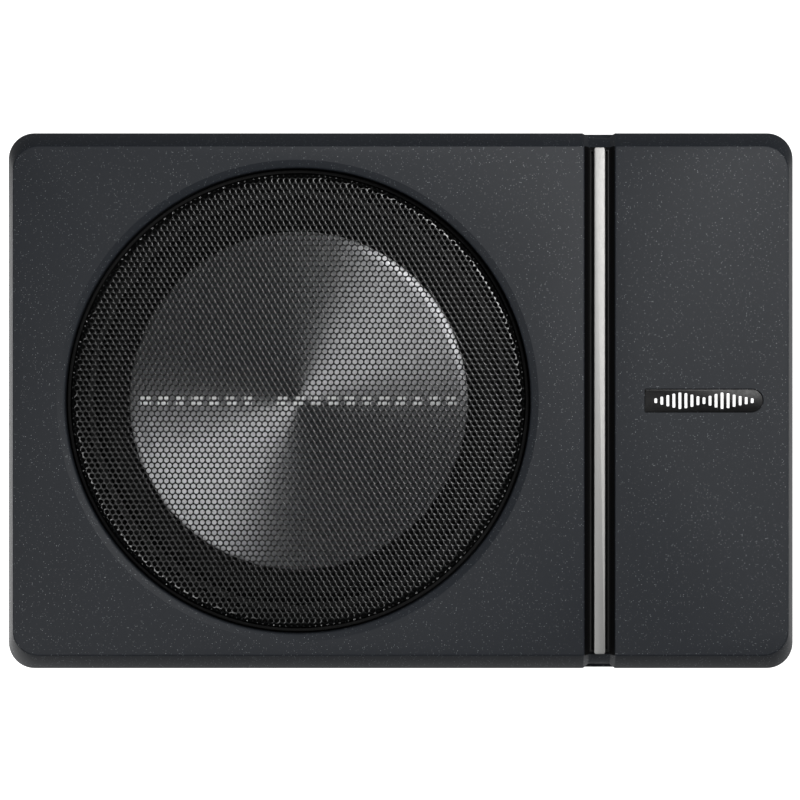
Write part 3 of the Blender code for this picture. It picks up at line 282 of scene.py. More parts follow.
# %% Brushed lines: noise stretched a hundredfold along one direction
brush_group, ends, out = new_group(
    "brushed_lines",
    [("Stretch", VECTOR, (1.0, 0.01, 1.0)), ("Fineness", FLOAT, 4000.0)],
    [("Height", FLOAT, None), ("Tone", FLOAT, None)],
)
where = node(brush_group, "ShaderNodeTexCoord").outputs["Object"]
drawn = node(brush_group, "ShaderNodeVectorMath", {0: where, 1: ends.outputs["Stretch"]}, operation="MULTIPLY")
lines = node(
    brush_group,
    "ShaderNodeTexNoise",
    {"Vector": drawn.outputs[0], "Scale": ends.outputs["Fineness"], "Detail": 3.0},
)
brush_group.links.new(lines.outputs[0], out.inputs["Height"])
brush_group.links.new(lines.outputs[0], out.inputs["Tone"])

# %% [markdown]
# One function turns a few numbers into a whole finish, so that every material on the case is built alike.

# %% A finish: base values, grain, drift and wear in one call
def srgb(red, green, blue):
    """A display colour, 0 to 255, as the linear values that the shader takes."""

    def linear(value):
        share = value / 255
        return share / 12.92 if share <= 0.04045 else ((share + 0.055) / 1.055) ** 2.4

    return (linear(red), linear(green), linear(blue), 1.0)


def bump(tree, shader, height, depth, strength=1.0, normal=None):
    made = node(tree, "ShaderNodeBump", {"Height": height, "Distance": depth, "Strength": strength})
    if normal is not None:
        tree.links.new(normal, made.inputs["Normal"])
    tree.links.new(made.outputs[0], shader.inputs["Normal"])
    return made.outputs[0]


def finish(
    name, colour, roughness, metallic=0.0, grain=0.4, depth=0.01, drift=0.12, wear=0.25, worn=None, **sockets
):
    """A material with grain (its cell in mm and its depth in mm), a slow drift in tone and worn edges."""
    made = bpy.data.materials.new(f"{name}_finish")
    made.use_nodes = True
    tree = made.node_tree
    shader = tree.nodes["Principled BSDF"]
    shader.inputs["Metallic"].default_value = metallic
    for socket, value in sockets.items():
        shader.inputs[socket.replace("_", " ")].default_value = value
    texture = node(tree, "ShaderNodeGroup", node_tree=grain_group)
    texture.inputs["Cell Size"].default_value = grain
    dark, light = ([c * (1 + side * drift) for c in colour[:3]] + [1.0] for side in (-1, 1))
    tone = remap(tree, texture.outputs["Drift"], 0.3, 0.7, 0.0, 1.0)
    base = mix_colour(tree, tone, dark, light)
    edges = node(tree, "ShaderNodeGroup", node_tree=wear_group)
    edges.inputs["Share"].default_value = wear
    worn_colour = worn or tuple(min(1.0, c * 2.2 + 0.02) for c in colour[:3]) + (1.0,)
    base = mix_colour(tree, edges.outputs["Wear"], base, worn_colour)
    tree.links.new(base, shader.inputs["Base Color"])
    rough = remap(tree, texture.outputs["Height"], 0.3, 0.7, roughness - 0.05, roughness + 0.05)
    tree.links.new(rough, shader.inputs["Roughness"])
    bump(tree, shader, texture.outputs["Height"], depth * MM)
    return made


# %% [markdown]
# ### The cover's paint
# The cover is sprayed a very dark blue-grey with metal flakes in it. A flake is far smaller than anything
# else on the case, so it isn't modelled: a cell pattern picks about one cell in nine, keeps a small spot
# round the middle of each, and makes that spot brighter than the paint round it, and metallic.

# %% Cover paint
PAINT = srgb(30, 34, 40)
FLAKE_CELL = 0.62 * MM
cover_paint = finish("cover_paint", PAINT, 0.55, grain=0.25, depth=0.006, drift=0.05, wear=0.12)
tree = cover_paint.node_tree
shader = tree.nodes["Principled BSDF"]
shader.inputs["Specular IOR Level"].default_value = 0.33
where = node(tree, "ShaderNodeTexCoord").outputs["Object"]
cells = node(tree, "ShaderNodeTexVoronoi", {"Vector": where, "Scale": 1 / FLAKE_CELL})
pick = node(tree, "ShaderNodeSeparateColor", {0: cells.outputs["Color"]})
chosen = maths(tree, "GREATER_THAN", pick.outputs[0], 0.4)
spot = maths(tree, "LESS_THAN", cells.outputs["Distance"], 0.21)
flake = maths(tree, "MULTIPLY", chosen, spot)
lit = maths(tree, "MULTIPLY", flake, maths(tree, "POWER", pick.outputs[1], 3.0))
tree.links.new(lit, shader.inputs["Metallic"])
plain = shader.inputs["Base Color"].links[0].from_socket
tree.links.new(mix_colour(tree, lit, plain, srgb(172, 176, 180)), shader.inputs["Base Color"])

# %% [markdown]
# The other materials differ mainly in colour, roughness and how coarse their grain is.

# %% Metals, plastics and rubber
RUBBED_METAL = srgb(80, 80, 82)
CAST_BLACK = srgb(25, 25, 27)
black_cast = finish(
    "black_cast", CAST_BLACK, 0.55, grain=0.7, depth=0.05, wear=0.3, worn=RUBBED_METAL, Specular_IOR_Level=0.35
)
black_plastic = finish("black_plastic", srgb(17, 17, 18), 0.42, grain=0.35, depth=0.012)
ring_black = finish("ring_black", srgb(7, 7, 7), 0.7, grain=0.4, depth=0.01, wear=0.0, Specular_IOR_Level=0.15)
trim_black = finish("trim_black", srgb(14, 14, 14), 0.5, grain=0.3, depth=0.004, wear=0.0, Specular_IOR_Level=0.25)
bay_plastic = finish("bay_plastic", srgb(24, 24, 25), 0.55, grain=0.45, depth=0.03)
knob_grey = finish("knob_grey", srgb(88, 90, 92), 0.45, grain=0.3, depth=0.01)
black_rubber = finish("black_rubber", srgb(22, 22, 22), 0.62, grain=0.5, depth=0.02, wear=0.1)
surround_rubber = finish(
    "surround_rubber", srgb(12, 12, 12), 0.75, grain=0.5, depth=0.02, wear=0.0, Specular_IOR_Level=0.2
)
seal_foam = finish("seal_foam", srgb(26, 26, 26), 0.95, grain=0.6, depth=0.1, wear=0.0)
grille_black = finish(
    "grille_black", srgb(10, 10, 10), 0.2, grain=0.3, depth=0.0005, wear=0.0, drift=0.0, Specular_IOR_Level=0.75
)
badge_black = finish(
    "badge_black", srgb(8, 8, 9), 0.38, grain=1.2, depth=0.001, wear=0.0, Specular_IOR_Level=0.3
)
# Near-black and dull: painted shade for the groove's slopes and floor, standing in for the shade of a deeper
# groove.
groove_painted_shade = finish(
    "groove_painted_shade", srgb(6, 6, 7), 0.7, grain=0.4, depth=0.01, wear=0.0, Specular_IOR_Level=0.12
)
zinc = finish("zinc", srgb(176, 176, 170), 0.36, 1.0, grain=0.8, depth=0.01, drift=0.08)
black_steel = finish("black_steel", srgb(34, 34, 35), 0.4, 0.6, grain=0.5, depth=0.01)
ferrite_grey = finish("ferrite_grey", srgb(62, 61, 61), 0.62, grain=0.9, depth=0.03)
pulp_black = finish("pulp_black", srgb(30, 29, 29), 0.9, grain=0.8, depth=0.08, wear=0.0)
spider_cloth = finish("spider_cloth", srgb(176, 140, 82), 0.85, grain=0.5, depth=0.08, wear=0.0)
copper_wire = finish("copper_wire", srgb(186, 106, 66), 0.3, 1.0, grain=0.4, depth=0.02)
board_green = finish("board_green", srgb(18, 82, 46), 0.4, grain=1.5, depth=0.004)
capacitor_sleeve = finish("capacitor_sleeve", srgb(28, 34, 62), 0.3, grain=1.0, depth=0.003)
epoxy_black = finish("epoxy_black", srgb(24, 24, 24), 0.5, grain=0.25, depth=0.01)
red_sleeve = finish("red_sleeve", srgb(150, 18, 16), 0.45, grain=0.6, depth=0.005, wear=0.0)
black_sleeve = finish("black_sleeve", srgb(18, 18, 18), 0.45, grain=0.6, depth=0.005, wear=0.0)
fuse_blue = finish("fuse_blue", srgb(24, 86, 168), 0.18, grain=2.0, depth=0.001, Coat_Weight=0.4)
light_green = finish("light_green", srgb(60, 170, 84), 0.12, grain=2.0, depth=0.001, Coat_Weight=0.6)
socket_white = finish("socket_white", srgb(205, 202, 192), 0.42, grain=0.6, depth=0.006)
red_insulator = finish("red_insulator", srgb(170, 24, 22), 0.35, grain=0.6, depth=0.004)
white_insulator = finish("white_insulator", srgb(222, 220, 212), 0.35, grain=0.6, depth=0.004)
nickel = finish("nickel", srgb(206, 202, 192), 0.2, 1.0, grain=1.5, depth=0.001, drift=0.05)
print("finishes:", len(bpy.data.materials))


# %% [markdown]
# ### Brushed bar and spun cone
# Both are bare aluminium, and what tells them apart is the direction of their lines. The bar is drawn
# straight, so its lines run along it. The cone was turned on a spinning lathe, so its lines are circles, and
# a light is smeared across them into a bright fan through the middle. That is what the shader's
# anisotropy is for: it stretches the highlight across the lines, given the lines' direction at each point.

# %% Bar finish
bar_metal = finish("bar_metal", srgb(158, 157, 155), 0.5, 0.8, grain=0.5, depth=0.002, drift=0.03, wear=0.0)
tree = bar_metal.node_tree
shader = tree.nodes["Principled BSDF"]
drawn = node(tree, "ShaderNodeGroup", node_tree=brush_group)
drawn.inputs["Stretch"].default_value = (1.0, 0.012, 1.0)
base = shader.inputs["Base Color"].links[0].from_socket
toned = mix_colour(tree, remap(tree, drawn.outputs["Tone"], 0.3, 0.7, 0.0, 0.16), base, srgb(150, 150, 150))
tree.links.new(toned, shader.inputs["Base Color"])
bump(tree, shader, drawn.outputs["Height"], 0.004 * MM)

# %% [markdown]
# On the cone the tangent node gives the direction round the axis at each point, and noise that depends only
# on the distance from the axis draws the turning marks.

# %% Cone finish
cone_metal = finish("cone_metal", srgb(170, 170, 172), 0.32, 1.0, grain=0.5, depth=0.001, drift=0.03, wear=0.0)
tree = cone_metal.node_tree
shader = tree.nodes["Principled BSDF"]
shader.inputs["Anisotropic"].default_value = 0.9
shader.inputs["Anisotropic Rotation"].default_value = 0.25
tangent = node(tree, "ShaderNodeTangent", direction_type="RADIAL", axis="Z")
tree.links.new(tangent.outputs[0], shader.inputs["Tangent"])
where = node(tree, "ShaderNodeTexCoord").outputs["Object"]
centred = node(tree, "ShaderNodeVectorMath", {0: where, 1: tuple(DRIVER)}, operation="SUBTRACT")
flat_place = node(
    tree, "ShaderNodeVectorMath", {0: centred.outputs[0], 1: (1.0, 1.0, 0.0)}, operation="MULTIPLY"
)
distance = node(tree, "ShaderNodeVectorMath", {0: flat_place.outputs[0]}, operation="LENGTH").outputs["Value"]
turns = node(tree, "ShaderNodeTexNoise", {"W": distance, "Scale": 2600.0, "Detail": 2.0}, noise_dimensions="1D")
base = shader.inputs["Base Color"].links[0].from_socket
ringed = mix_colour(tree, remap(tree, turns.outputs[0], 0.35, 0.65, 0.0, 0.25), base, srgb(150, 150, 152))
tree.links.new(ringed, shader.inputs["Base Color"])
bump(tree, shader, turns.outputs[0], 0.004 * MM)

print_silver = finish("print_silver", srgb(248, 248, 248), 0.5, 1.0, grain=0.5, depth=0.001, wear=0.0, drift=0.03)

# %% [markdown]
# ## Modelling helpers
# Every new piece ends the same way: its normals are made to point outwards, its faces are shaded smooth with
# sharp edges kept, it is hung on the body it rides on, the solids it stands for are hidden, and it gets its
# material.

# %% Finish a piece
def face_outwards(bm):
    bmesh.ops.recalc_face_normals(bm, faces=bm.faces)
    if bm.calc_volume(signed=True) < 0:
        bmesh.ops.reverse_faces(bm, faces=bm.faces)


def piece(name, bm, material, body=CASE, stands_for=(), smooth=35):
    face_outwards(bm)
    count = len(bm.faces)
    obj = mesh_object(name, bm)
    obj.data.materials.append(material)
    obj.data.shade_smooth()
    obj.data.set_sharp_from_angle(angle=math.radians(smooth))
    if body:
        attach(obj, body)
    if stands_for:
        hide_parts(*stands_for)
    print(f"{name}: {count} faces")
    return obj


def block(low, high):
    """A bmesh with a box between two corners."""
    low, high = Vector(low), Vector(high)
    bm = bmesh.new()
    matrix = Matrix.Translation((low + high) / 2) @ Matrix.Diagonal((*(high - low), 1))
    bmesh.ops.create_cube(bm, size=1, matrix=matrix)
    return bm


def bevel(bm, edges, offset, segments=2, affect="EDGES"):
    bmesh.ops.bevel(
        bm,
        geom=list(edges),
        offset=offset,
        segments=segments,
        profile=0.5,
        affect=affect,
        material=-1,
        clamp_overlap=True,
    )


def upright(edge):
    return abs(edge.verts[0].co.z - edge.verts[1].co.z) > 0.9 * edge.calc_length()


def sharp_edges(bm, degrees=25, axis=2, above=-1):
    """The edges that turn by more than an angle and lie above a level along an axis."""
    bm.normal_update()
    return [
        e
        for e in bm.edges
        if len(e.link_faces) == 2
        and e.calc_face_angle(0) > math.radians(degrees)
        and min(v.co[axis] for v in e.verts) > above
    ]


def turned(points, cent, axis, steps, closed):
    """A chain of points spun round an axis, with its ends joined when it is closed."""
    bm = bmesh.new()
    verts = [bm.verts.new(point) for point in points]
    edges = [bm.edges.new(pair) for pair in zip(verts, verts[1:])]
    if closed:
        edges.append(bm.edges.new((verts[-1], verts[0])))
    bmesh.ops.spin(bm, geom=verts + edges, cent=cent, axis=axis, angle=math.tau, steps=steps, use_merge=True)
    bmesh.ops.remove_doubles(bm, verts=bm.verts, dist=0.001 * MM)
    return bm


def spun(profile, steps, centre=DRIVER, closed=True):
    """A piece turned round a vertical axis, from (radius, height) points."""
    points = [(centre.x + r, centre.y, z) for r, z in profile]
    return turned(points, centre, (0, 0, 1), steps, closed)


# %% [markdown]
# Holes, wells and slots are made in one way: an outline is drawn on a flat face, the face is filled again
# round it, and the outline is pulled in and closed. A Boolean cutter would do it too, but it leaves long thin
# triangles that can't be bevelled cleanly.

# %% Outlines that are let into flat faces
def verts_in(geometry):
    return [g for g in geometry if isinstance(g, bmesh.types.BMVert)]


def edges_round(verts):
    return list(dict.fromkeys(e for v in verts for e in v.link_edges))


def print_open(label, bm):
    print(f"{label}: open edges", len([e for e in bm.edges if len(e.link_faces) != 2]))


def outline_loop(bm, centre, along, across, half_along, half_across):
    """A rectangle of edges round a centre, in the plane of two unit vectors."""
    along, across = Vector(along), Vector(across)
    turn = Matrix((along, across, along.cross(across))).transposed().to_4x4()
    matrix = Matrix.Translation(centre) @ turn @ Matrix.Diagonal((half_along, half_across, 1, 1))
    verts = bmesh.ops.create_grid(bm, x_segments=1, y_segments=1, size=1, matrix=matrix)["verts"]
    edges = edges_round(verts)
    faces = list(dict.fromkeys(f for v in verts for f in v.link_faces))
    bmesh.ops.delete(bm, geom=faces, context="FACES_ONLY")
    return edges


def round_loop(bm, centre, axis, radius, steps=32):
    """A circle of edges round a centre, facing along an axis."""
    turn = Vector((0, 0, 1)).rotation_difference(Vector(axis)).to_matrix().to_4x4()
    matrix = Matrix.Translation(centre) @ turn
    return edges_round(bmesh.ops.create_circle(bm, segments=steps, radius=radius, matrix=matrix)["verts"])


def pierce(bm, face, loops):
    """Replaces a flat face with one that has holes where the loops of edges lie in it."""
    border, normal = list(face.edges), face.normal.copy()
    bmesh.ops.delete(bm, geom=[face], context="FACES_ONLY")
    edges = border + [e for loop in loops for e in loop]
    bmesh.ops.triangle_fill(bm, use_beauty=True, use_dissolve=False, edges=edges, normal=normal)


def pull_to(bm, loop, move=(0, 0, 0), grow=1.0):
    """Extrudes a loop of edges, grows it about its own middle, moves it, and returns the new loop."""
    made = bmesh.ops.extrude_edge_only(bm, edges=loop)["geom"]
    verts = verts_in(made)
    middle = sum((v.co for v in verts), Vector()) / len(verts)
    if grow != 1.0:
        bmesh.ops.scale(bm, vec=(grow, grow, grow), space=Matrix.Translation(-middle), verts=verts)
    bmesh.ops.translate(bm, vec=move, verts=verts)
    return [g for g in made if isinstance(g, bmesh.types.BMEdge)]


def let_in(bm, face, loops, move):
    """Opens a flat face along the loops, pulls each one by a vector and closes its end."""
    pierce(bm, face, loops)
    for loop in loops:
        bmesh.ops.contextual_create(bm, geom=pull_to(bm, loop, move))


def facing(bm, direction, position, test=lambda c: True):
    """The largest flat face that looks along a direction at a distance from the origin."""
    bm.normal_update()
    direction = Vector(direction)
    found = []
    for face in bm.faces:
        middle = face.calc_center_median()
        near = abs(middle.dot(direction) - position) < 0.05 * MM
        if near and face.normal.dot(direction) > 0.98 and test(middle):
            found.append(face)
    return max(found, key=lambda f: f.calc_area())


# %% [markdown]
# ## The top cover
# The cover is the piece that everyone sees: a shallow tray, upside down, with wide bevels on its long
# sides, narrow ones on its ends, and a groove straight across. It could be a box with cutters, but a
# Boolean leaves long thin triangles that can't be bevelled cleanly. So it starts as a rounded block, the
# top is extruded inwards for the bevels, and planes cut it where the groove begins and ends. The points
# between those planes are then pushed in, which carries the groove over the shoulders as well.

# %% Cover shell
CORNER_RADIUS, CORNER_STEPS = 11.2 * MM, 14
WALL = 2.6 * MM
BEVEL_END, BEVEL_SIDE, BEVEL_DROP = 2.6 * MM, 6.1 * MM, 9 * MM

cover = block((-HALF_LENGTH, -HALF_DEPTH, cover_low.z), (HALF_LENGTH, HALF_DEPTH, SHOULDER_Z))
bevel(cover, [e for e in cover.edges if upright(e)], CORNER_RADIUS, CORNER_STEPS)


def raise_face(bm, face, rise, inset_x, inset_y):
    """Extrudes a level face upwards and draws its outline in by different amounts along X and Y."""
    made = bmesh.ops.extrude_face_region(bm, geom=[face])["geom"]
    verts = verts_in(made)
    half_x = max(v.co.x for v in verts)
    half_y = max(v.co.y for v in verts)
    bmesh.ops.delete(bm, geom=[face], context="FACES_ONLY")
    bmesh.ops.scale(bm, vec=(1 - inset_x / half_x, 1 - inset_y / half_y, 1), verts=verts)
    bmesh.ops.translate(bm, vec=(0, 0, rise), verts=verts)
    return next(g for g in made if isinstance(g, bmesh.types.BMFace))


UP, DOWN = (0, 0, 1), (0, 0, -1)
roof = facing(cover, UP, SHOULDER_Z)
raise_face(cover, roof, BEVEL_DROP, BEVEL_END, BEVEL_SIDE)
base = facing(cover, DOWN, -cover_low.z)
bmesh.ops.inset_region(cover, faces=[base], thickness=WALL, use_even_offset=True)
face_outwards(cover)
inner = raise_face(cover, base, SHOULDER_Z - 0.6 * MM - cover_low.z, 0, 0)
raise_face(cover, inner, BEVEL_DROP - WALL + 0.6 * MM, BEVEL_END + 0.4 * MM, BEVEL_SIDE - 0.6 * MM)
face_outwards(cover)

# %% [markdown]
# The groove takes the trim bar. It is a flat-bottomed trough with sloping sides that runs out over both
# shoulders, where it leaves a small notch. Cutting planes give it its borders, and moving the points between
# them gives it its depth, so its walls stay joined to the rest of the cover.

# %% Groove
GROOVE_TOP, GROOVE_FLOOR, GROOVE_DEPTH, NOTCH_DEPTH = 6.8 * MM, 4.6 * MM, 3.5 * MM, 2.1 * MM
LEDGE_LOW, LEDGE_HIGH = 51 * MM, 51.8 * MM  # below this the long sides keep their full width
offsets = (-GROOVE_TOP, -GROOVE_FLOOR, GROOVE_FLOOR, GROOVE_TOP)
cuts = [((GROOVE_X + offset, 0, 0), (1, 0, 0)) for offset in offsets]
cuts += [((0, 0, level), (0, 0, 1)) for level in (LEDGE_LOW, LEDGE_HIGH)]
for plane_co, plane_no in cuts:
    everything = cover.verts[:] + cover.edges[:] + cover.faces[:]
    bmesh.ops.bisect_plane(cover, geom=everything, plane_co=plane_co, plane_no=plane_no)
for v in [v for v in cover.verts if abs(v.co.x - GROOVE_X) < GROOVE_FLOOR + 0.01 * MM]:
    outward = math.copysign(1, v.co.y)
    if v.co.z > TOP_Z - 0.1 * MM:
        v.co += Vector((0, -0.6 * MM * outward, -GROOVE_DEPTH))
    elif v.co.z > SHOULDER_Z + 1 * MM:
        v.co += Vector((0, -4 * MM * outward, -6.5 * MM))
    elif v.co.z > (LEDGE_LOW + LEDGE_HIGH) / 2:
        v.co.y -= NOTCH_DEPTH * outward
print("cover cut by the groove:", len(cover.faces), "faces")

# %% [markdown]
# A pressed sheet has no knife edges. Every fold above the shoulder is given a small round, which catches a
# thin line of light as the real one does.

# %% Round the cover's edges
folds = [e for e in sharp_edges(cover, 15) if max(v.co.z for v in e.verts) > SHOULDER_Z - 0.7 * MM]
bevel(cover, folds, 0.45 * MM, 3)
face_outwards(cover)

# %% [markdown]
# The speaker's opening is a circle in a flat face with a soft lip that rolls over into a deep round well. The
# face is taken out and filled again round the circle, and the circle's edges are extruded step by step
# down the lip, the well, the ledge and back up to the ceiling inside, so the cover stays one closed skin.

# %% Opening and well
STEPS = 160
LIP_WIDTH, LIP_DROP = 3.4 * MM, 1.5 * MM
LEDGE_TOP, LEDGE_BOTTOM, LEDGE_RADIUS = 49.2 * MM, 46.5 * MM, 88.5 * MM
lip_steps = ((1.0, 0.0), (0.24, 0.72), (0.12, 0.86), (0.04, 1.04), (0.0, 1.35))
lip = [(OPENING_RADIUS + LIP_WIDTH * out, TOP_Z - LIP_DROP * down) for out, down in lip_steps]
ceiling_z = TOP_Z - WALL
well = lip[1:] + [
    (OPENING_RADIUS, 60 * MM),
    (OPENING_RADIUS, LEDGE_TOP),
    (LEDGE_RADIUS, LEDGE_TOP),
    (LEDGE_RADIUS, LEDGE_BOTTOM),
    (OPENING_RADIUS + WALL, LEDGE_BOTTOM),
    (OPENING_RADIUS + WALL, 60 * MM),
]
left = facing(cover, UP, TOP_Z, lambda c: c.x < GROOVE_X)
mouth = round_loop(cover, (DRIVER.x, 0, TOP_Z), UP, lip[0][0], STEPS)
pierce(cover, left, [mouth])
loop, (radius, level) = mouth, lip[0]
for next_radius, next_level in well:
    loop = pull_to(cover, loop, (0, 0, next_level - level), next_radius / radius)
    radius, level = next_radius, next_level
ceiling = facing(cover, DOWN, -ceiling_z, lambda c: c.x < GROOVE_X)
top_ring = pull_to(cover, loop, (0, 0, ceiling_z - level))
pierce(cover, ceiling, [top_ring])

# %% [markdown]
# The badge sits flush in a shallow recess of its own outline, a hair wider than the plate. The trim bar's
# channel goes down through a slot in the groove's floor. The groove's slopes and floor get a second, near-black
# and dull finish in the same mesh: painted shade, as dark as a much deeper groove would be.

# %% Badge recess and the slot for the bar's channel
def badge_outline(bm, margin, z, share, steps):
    """A filled badge outline: square on the left with small corners, round on the right."""
    half_x = (badge_high.x - badge_low.x) / 2 + margin
    half_y = (badge_high.y - badge_low.y) / 2 + margin
    middle_x = (badge_low.x + badge_high.x) / 2
    matrix = Matrix.Translation((middle_x, 0, z)) @ Matrix.Diagonal((half_x, half_y, 1, 1))
    corners = bmesh.ops.create_grid(bm, x_segments=1, y_segments=1, size=1, matrix=matrix)["verts"]
    left_corners = [v for v in corners if v.co.x < middle_x]
    bevel(bm, [v for v in corners if v not in left_corners], half_y * share, steps, "VERTICES")
    bevel(bm, left_corners, 0.8 * MM, 4, "VERTICES")
    return bm.faces[:]


right_top = facing(cover, UP, TOP_Z, lambda c: c.x > GROOVE_X)
spare = bmesh.new()
outline = badge_outline(spare, 0.36 * MM, TOP_Z, 0.98, 8)[0]
recess = [cover.verts.new(v.co) for v in outline.verts]
spare.free()
recess_loop = [cover.edges.new((recess[i - 1], recess[i])) for i in range(len(recess))]
let_in(cover, right_top, [recess_loop], (0, 0, -1 * MM))

SLOT_DEPTH = 3.3 * MM
groove_floor = facing(cover, UP, TOP_Z - GROOVE_DEPTH, lambda c: abs(c.x - GROOVE_X) < MM)
bmesh.ops.inset_region(cover, faces=[groove_floor], thickness=0.25 * MM, use_even_offset=True)
slot_made = bmesh.ops.extrude_face_region(cover, geom=[groove_floor])["geom"]
bmesh.ops.delete(cover, geom=[groove_floor], context="FACES_ONLY")
bmesh.ops.translate(cover, vec=(0, 0, -SLOT_DEPTH), verts=verts_in(slot_made))
print_open("cover", cover)
face_outwards(cover)
# The groove's slopes and floor take the second material, the painted shade.
for face in cover.faces:
    middle = face.calc_center_median()
    in_groove = abs(middle.x - GROOVE_X) < GROOVE_TOP - 0.5 * MM and middle.z > 63 * MM
    if in_groove and abs(middle.y) < HALF_DEPTH - BEVEL_SIDE:
        face.material_index = 1
shell = piece("cover_shell", cover, cover_paint, stands_for=["top_cover"], smooth=22)
shell.data.materials.append(groove_painted_shade)

# %% [markdown]
# ## The lower chassis
# The chassis is cast, so every corner is rounded and every wall is an even few millimetres thick. It is made as
# one closed skin: a block is hollowed, its end wall is opened for the socket bay, and the fins, bracket
# holes and screw wells are outlines let into flat faces and pulled in. On the real part the fins carry the
# amplifier's heat out through the long walls.

# %% Chassis tub and the bay's mouth
CHASSIS_X, CHASSIS_Y = chassis_high.x, chassis_high.y
CHASSIS_BOTTOM, CHASSIS_RIM = chassis_low.z, chassis_high.z
CHASSIS_WALL, CHASSIS_FLOOR = 3 * MM, 6 * MM
FOOT_BEVEL = 2.5 * MM
BAY_SILL, BAY_HALF = 8 * MM, 97 * MM

tub = block((-CHASSIS_X, -CHASSIS_Y, CHASSIS_BOTTOM + FOOT_BEVEL), (CHASSIS_X, CHASSIS_Y, CHASSIS_RIM))
bevel(tub, [e for e in tub.edges if upright(e)], 10.4 * MM, 12)
raise_face(tub, facing(tub, DOWN, -CHASSIS_BOTTOM - FOOT_BEVEL), -FOOT_BEVEL, FOOT_BEVEL, FOOT_BEVEL)
face_outwards(tub)
tub_mouth = facing(tub, UP, CHASSIS_RIM)
bmesh.ops.inset_region(tub, faces=[tub_mouth], thickness=CHASSIS_WALL, use_even_offset=True)
raise_face(tub, tub_mouth, CHASSIS_FLOOR - CHASSIS_RIM, 0, 0)
face_outwards(tub)
bevel(tub, [e for e in sharp_edges(tub, 30) if max(v.co.z for v in e.verts) < CHASSIS_FLOOR], 0.7 * MM, 3)



def in_bay_wall(face, half_y, low_z):
    middle = face.calc_center_median()
    return middle.x > CHASSIS_X - 4 * MM and abs(middle.y) < half_y and middle.z > low_z


cuts = (((0, BAY_HALF, 0), (0, 1, 0)), ((0, -BAY_HALF, 0), (0, 1, 0)), ((0, 0, BAY_SILL), (0, 0, 1)))
for plane_co, plane_no in cuts:
    end_faces = [f for f in tub.faces if in_bay_wall(f, CHASSIS_Y - 11 * MM, 5 * MM)]
    end_geometry = list(dict.fromkeys(g for f in end_faces for g in (*f.verts, *f.edges, f)))
    bmesh.ops.bisect_plane(tub, geom=end_geometry, plane_co=plane_co, plane_no=plane_no)
opened = [f for f in tub.faces if in_bay_wall(f, BAY_HALF, BAY_SILL)]
bmesh.ops.delete(tub, geom=opened, context="FACES")
border = [e for e in tub.edges if len(e.link_faces) == 1]
outer_line = [e for e in border if min(v.co.x for v in e.verts) > CHASSIS_X - 0.1 * MM]
inner_line = [e for e in border if max(v.co.x for v in e.verts) < CHASSIS_X - 2.9 * MM]
bmesh.ops.bridge_loops(tub, edges=outer_line + inner_line)
print_open("chassis with the bay's mouth", tub)

# %% [markdown]
# The long walls are thick behind the fins, and slots are let into them from outside, so that fins stay
# between the slots. The bracket holes have round pads behind them. The four screw wells go right through: up
# from the bottom to a seat, then narrower, and back down outside the post to the floor.

# %% Fins, bracket holes, screw wells and board posts
FIN_FIRST, FIN_LAST, FIN_PITCH, FIN_SLOT, FIN_DEPTH = 71 * MM, 125 * MM, 5.4 * MM, 2.8 * MM, 7.5 * MM
FIN_LOW, FIN_HIGH = 9 * MM, 38 * MM
BRACKET_X, BRACKET_Z = 137 * MM, 22 * MM
BOSS_X, BOSS_Y = 152 * MM, 105 * MM
SCREW_SEAT = 35.7 * MM
BOARD_POSTS = ((76, -89), (76, 8), (137, -89), (134, 84))

for side in (-1, 1):
    inward = Vector((0, -side, 0))
    wall_y = side * (CHASSIS_Y - CHASSIS_WALL)
    inside = facing(tub, inward, -(CHASSIS_Y - CHASSIS_WALL))
    fin_middle, fin_half = (FIN_FIRST + FIN_LAST) / 2, (FIN_LAST - FIN_FIRST) / 2
    thick = outline_loop(tub, (fin_middle, wall_y, 24.5 * MM), (1, 0, 0), (0, 0, 1), fin_half, 17 * MM)
    bosses = [round_loop(tub, (x, wall_y, BRACKET_Z), inward, 5.4 * MM) for x in (-BRACKET_X, BRACKET_X)]
    let_in(tub, inside, [thick, *bosses], inward * 9.3 * MM)
    outside = facing(tub, -inward, CHASSIS_Y)
    slots = []
    for number in range(9):
        x = FIN_FIRST + FIN_PITCH * (number + 1)
        centre = (x, side * CHASSIS_Y, (FIN_LOW + FIN_HIGH) / 2)
        slots.append(outline_loop(tub, centre, (1, 0, 0), UP, FIN_SLOT / 2, (FIN_HIGH - FIN_LOW) / 2))
    hole_y = side * CHASSIS_Y
    holes = [round_loop(tub, (x, hole_y, BRACKET_Z), inward, 2.1 * MM) for x in (-BRACKET_X, BRACKET_X)]
    let_in(tub, outside, slots + holes, inward * FIN_DEPTH)

below = facing(tub, DOWN, -CHASSIS_BOTTOM)
above = facing(tub, UP, CHASSIS_FLOOR)
bottom_loops, floor_loops = [], []
for x in (-BOSS_X, BOSS_X):
    for y in (-BOSS_Y, BOSS_Y):
        first = round_loop(tub, (x, y, CHASSIS_BOTTOM), (0, 0, 1), 4.3 * MM)
        bottom_loops.append(first)
        seat = pull_to(tub, first, (0, 0, SCREW_SEAT - CHASSIS_BOTTOM))
        way = pull_to(tub, seat, grow=2.3 / 4.3)
        top = pull_to(tub, way, (0, 0, 43 * MM - SCREW_SEAT))
        rim = pull_to(tub, top, grow=6.4 / 2.3)
        floor_loops.append(pull_to(tub, rim, (0, 0, CHASSIS_FLOOR - 43 * MM)))
posts = [round_loop(tub, (x * MM, y * MM, CHASSIS_FLOOR), (0, 0, 1), 3.2 * MM, 20) for x, y in BOARD_POSTS]
pierce(tub, below, bottom_loops)
pierce(tub, above, floor_loops + posts)
for post in posts:
    bmesh.ops.contextual_create(tub, geom=pull_to(tub, post, (0, 0, 13.7 * MM - CHASSIS_FLOOR)))
print_open("chassis", tub)
piece("chassis_casting", tub, black_cast, stands_for=["bottom_chassis"], smooth=28)

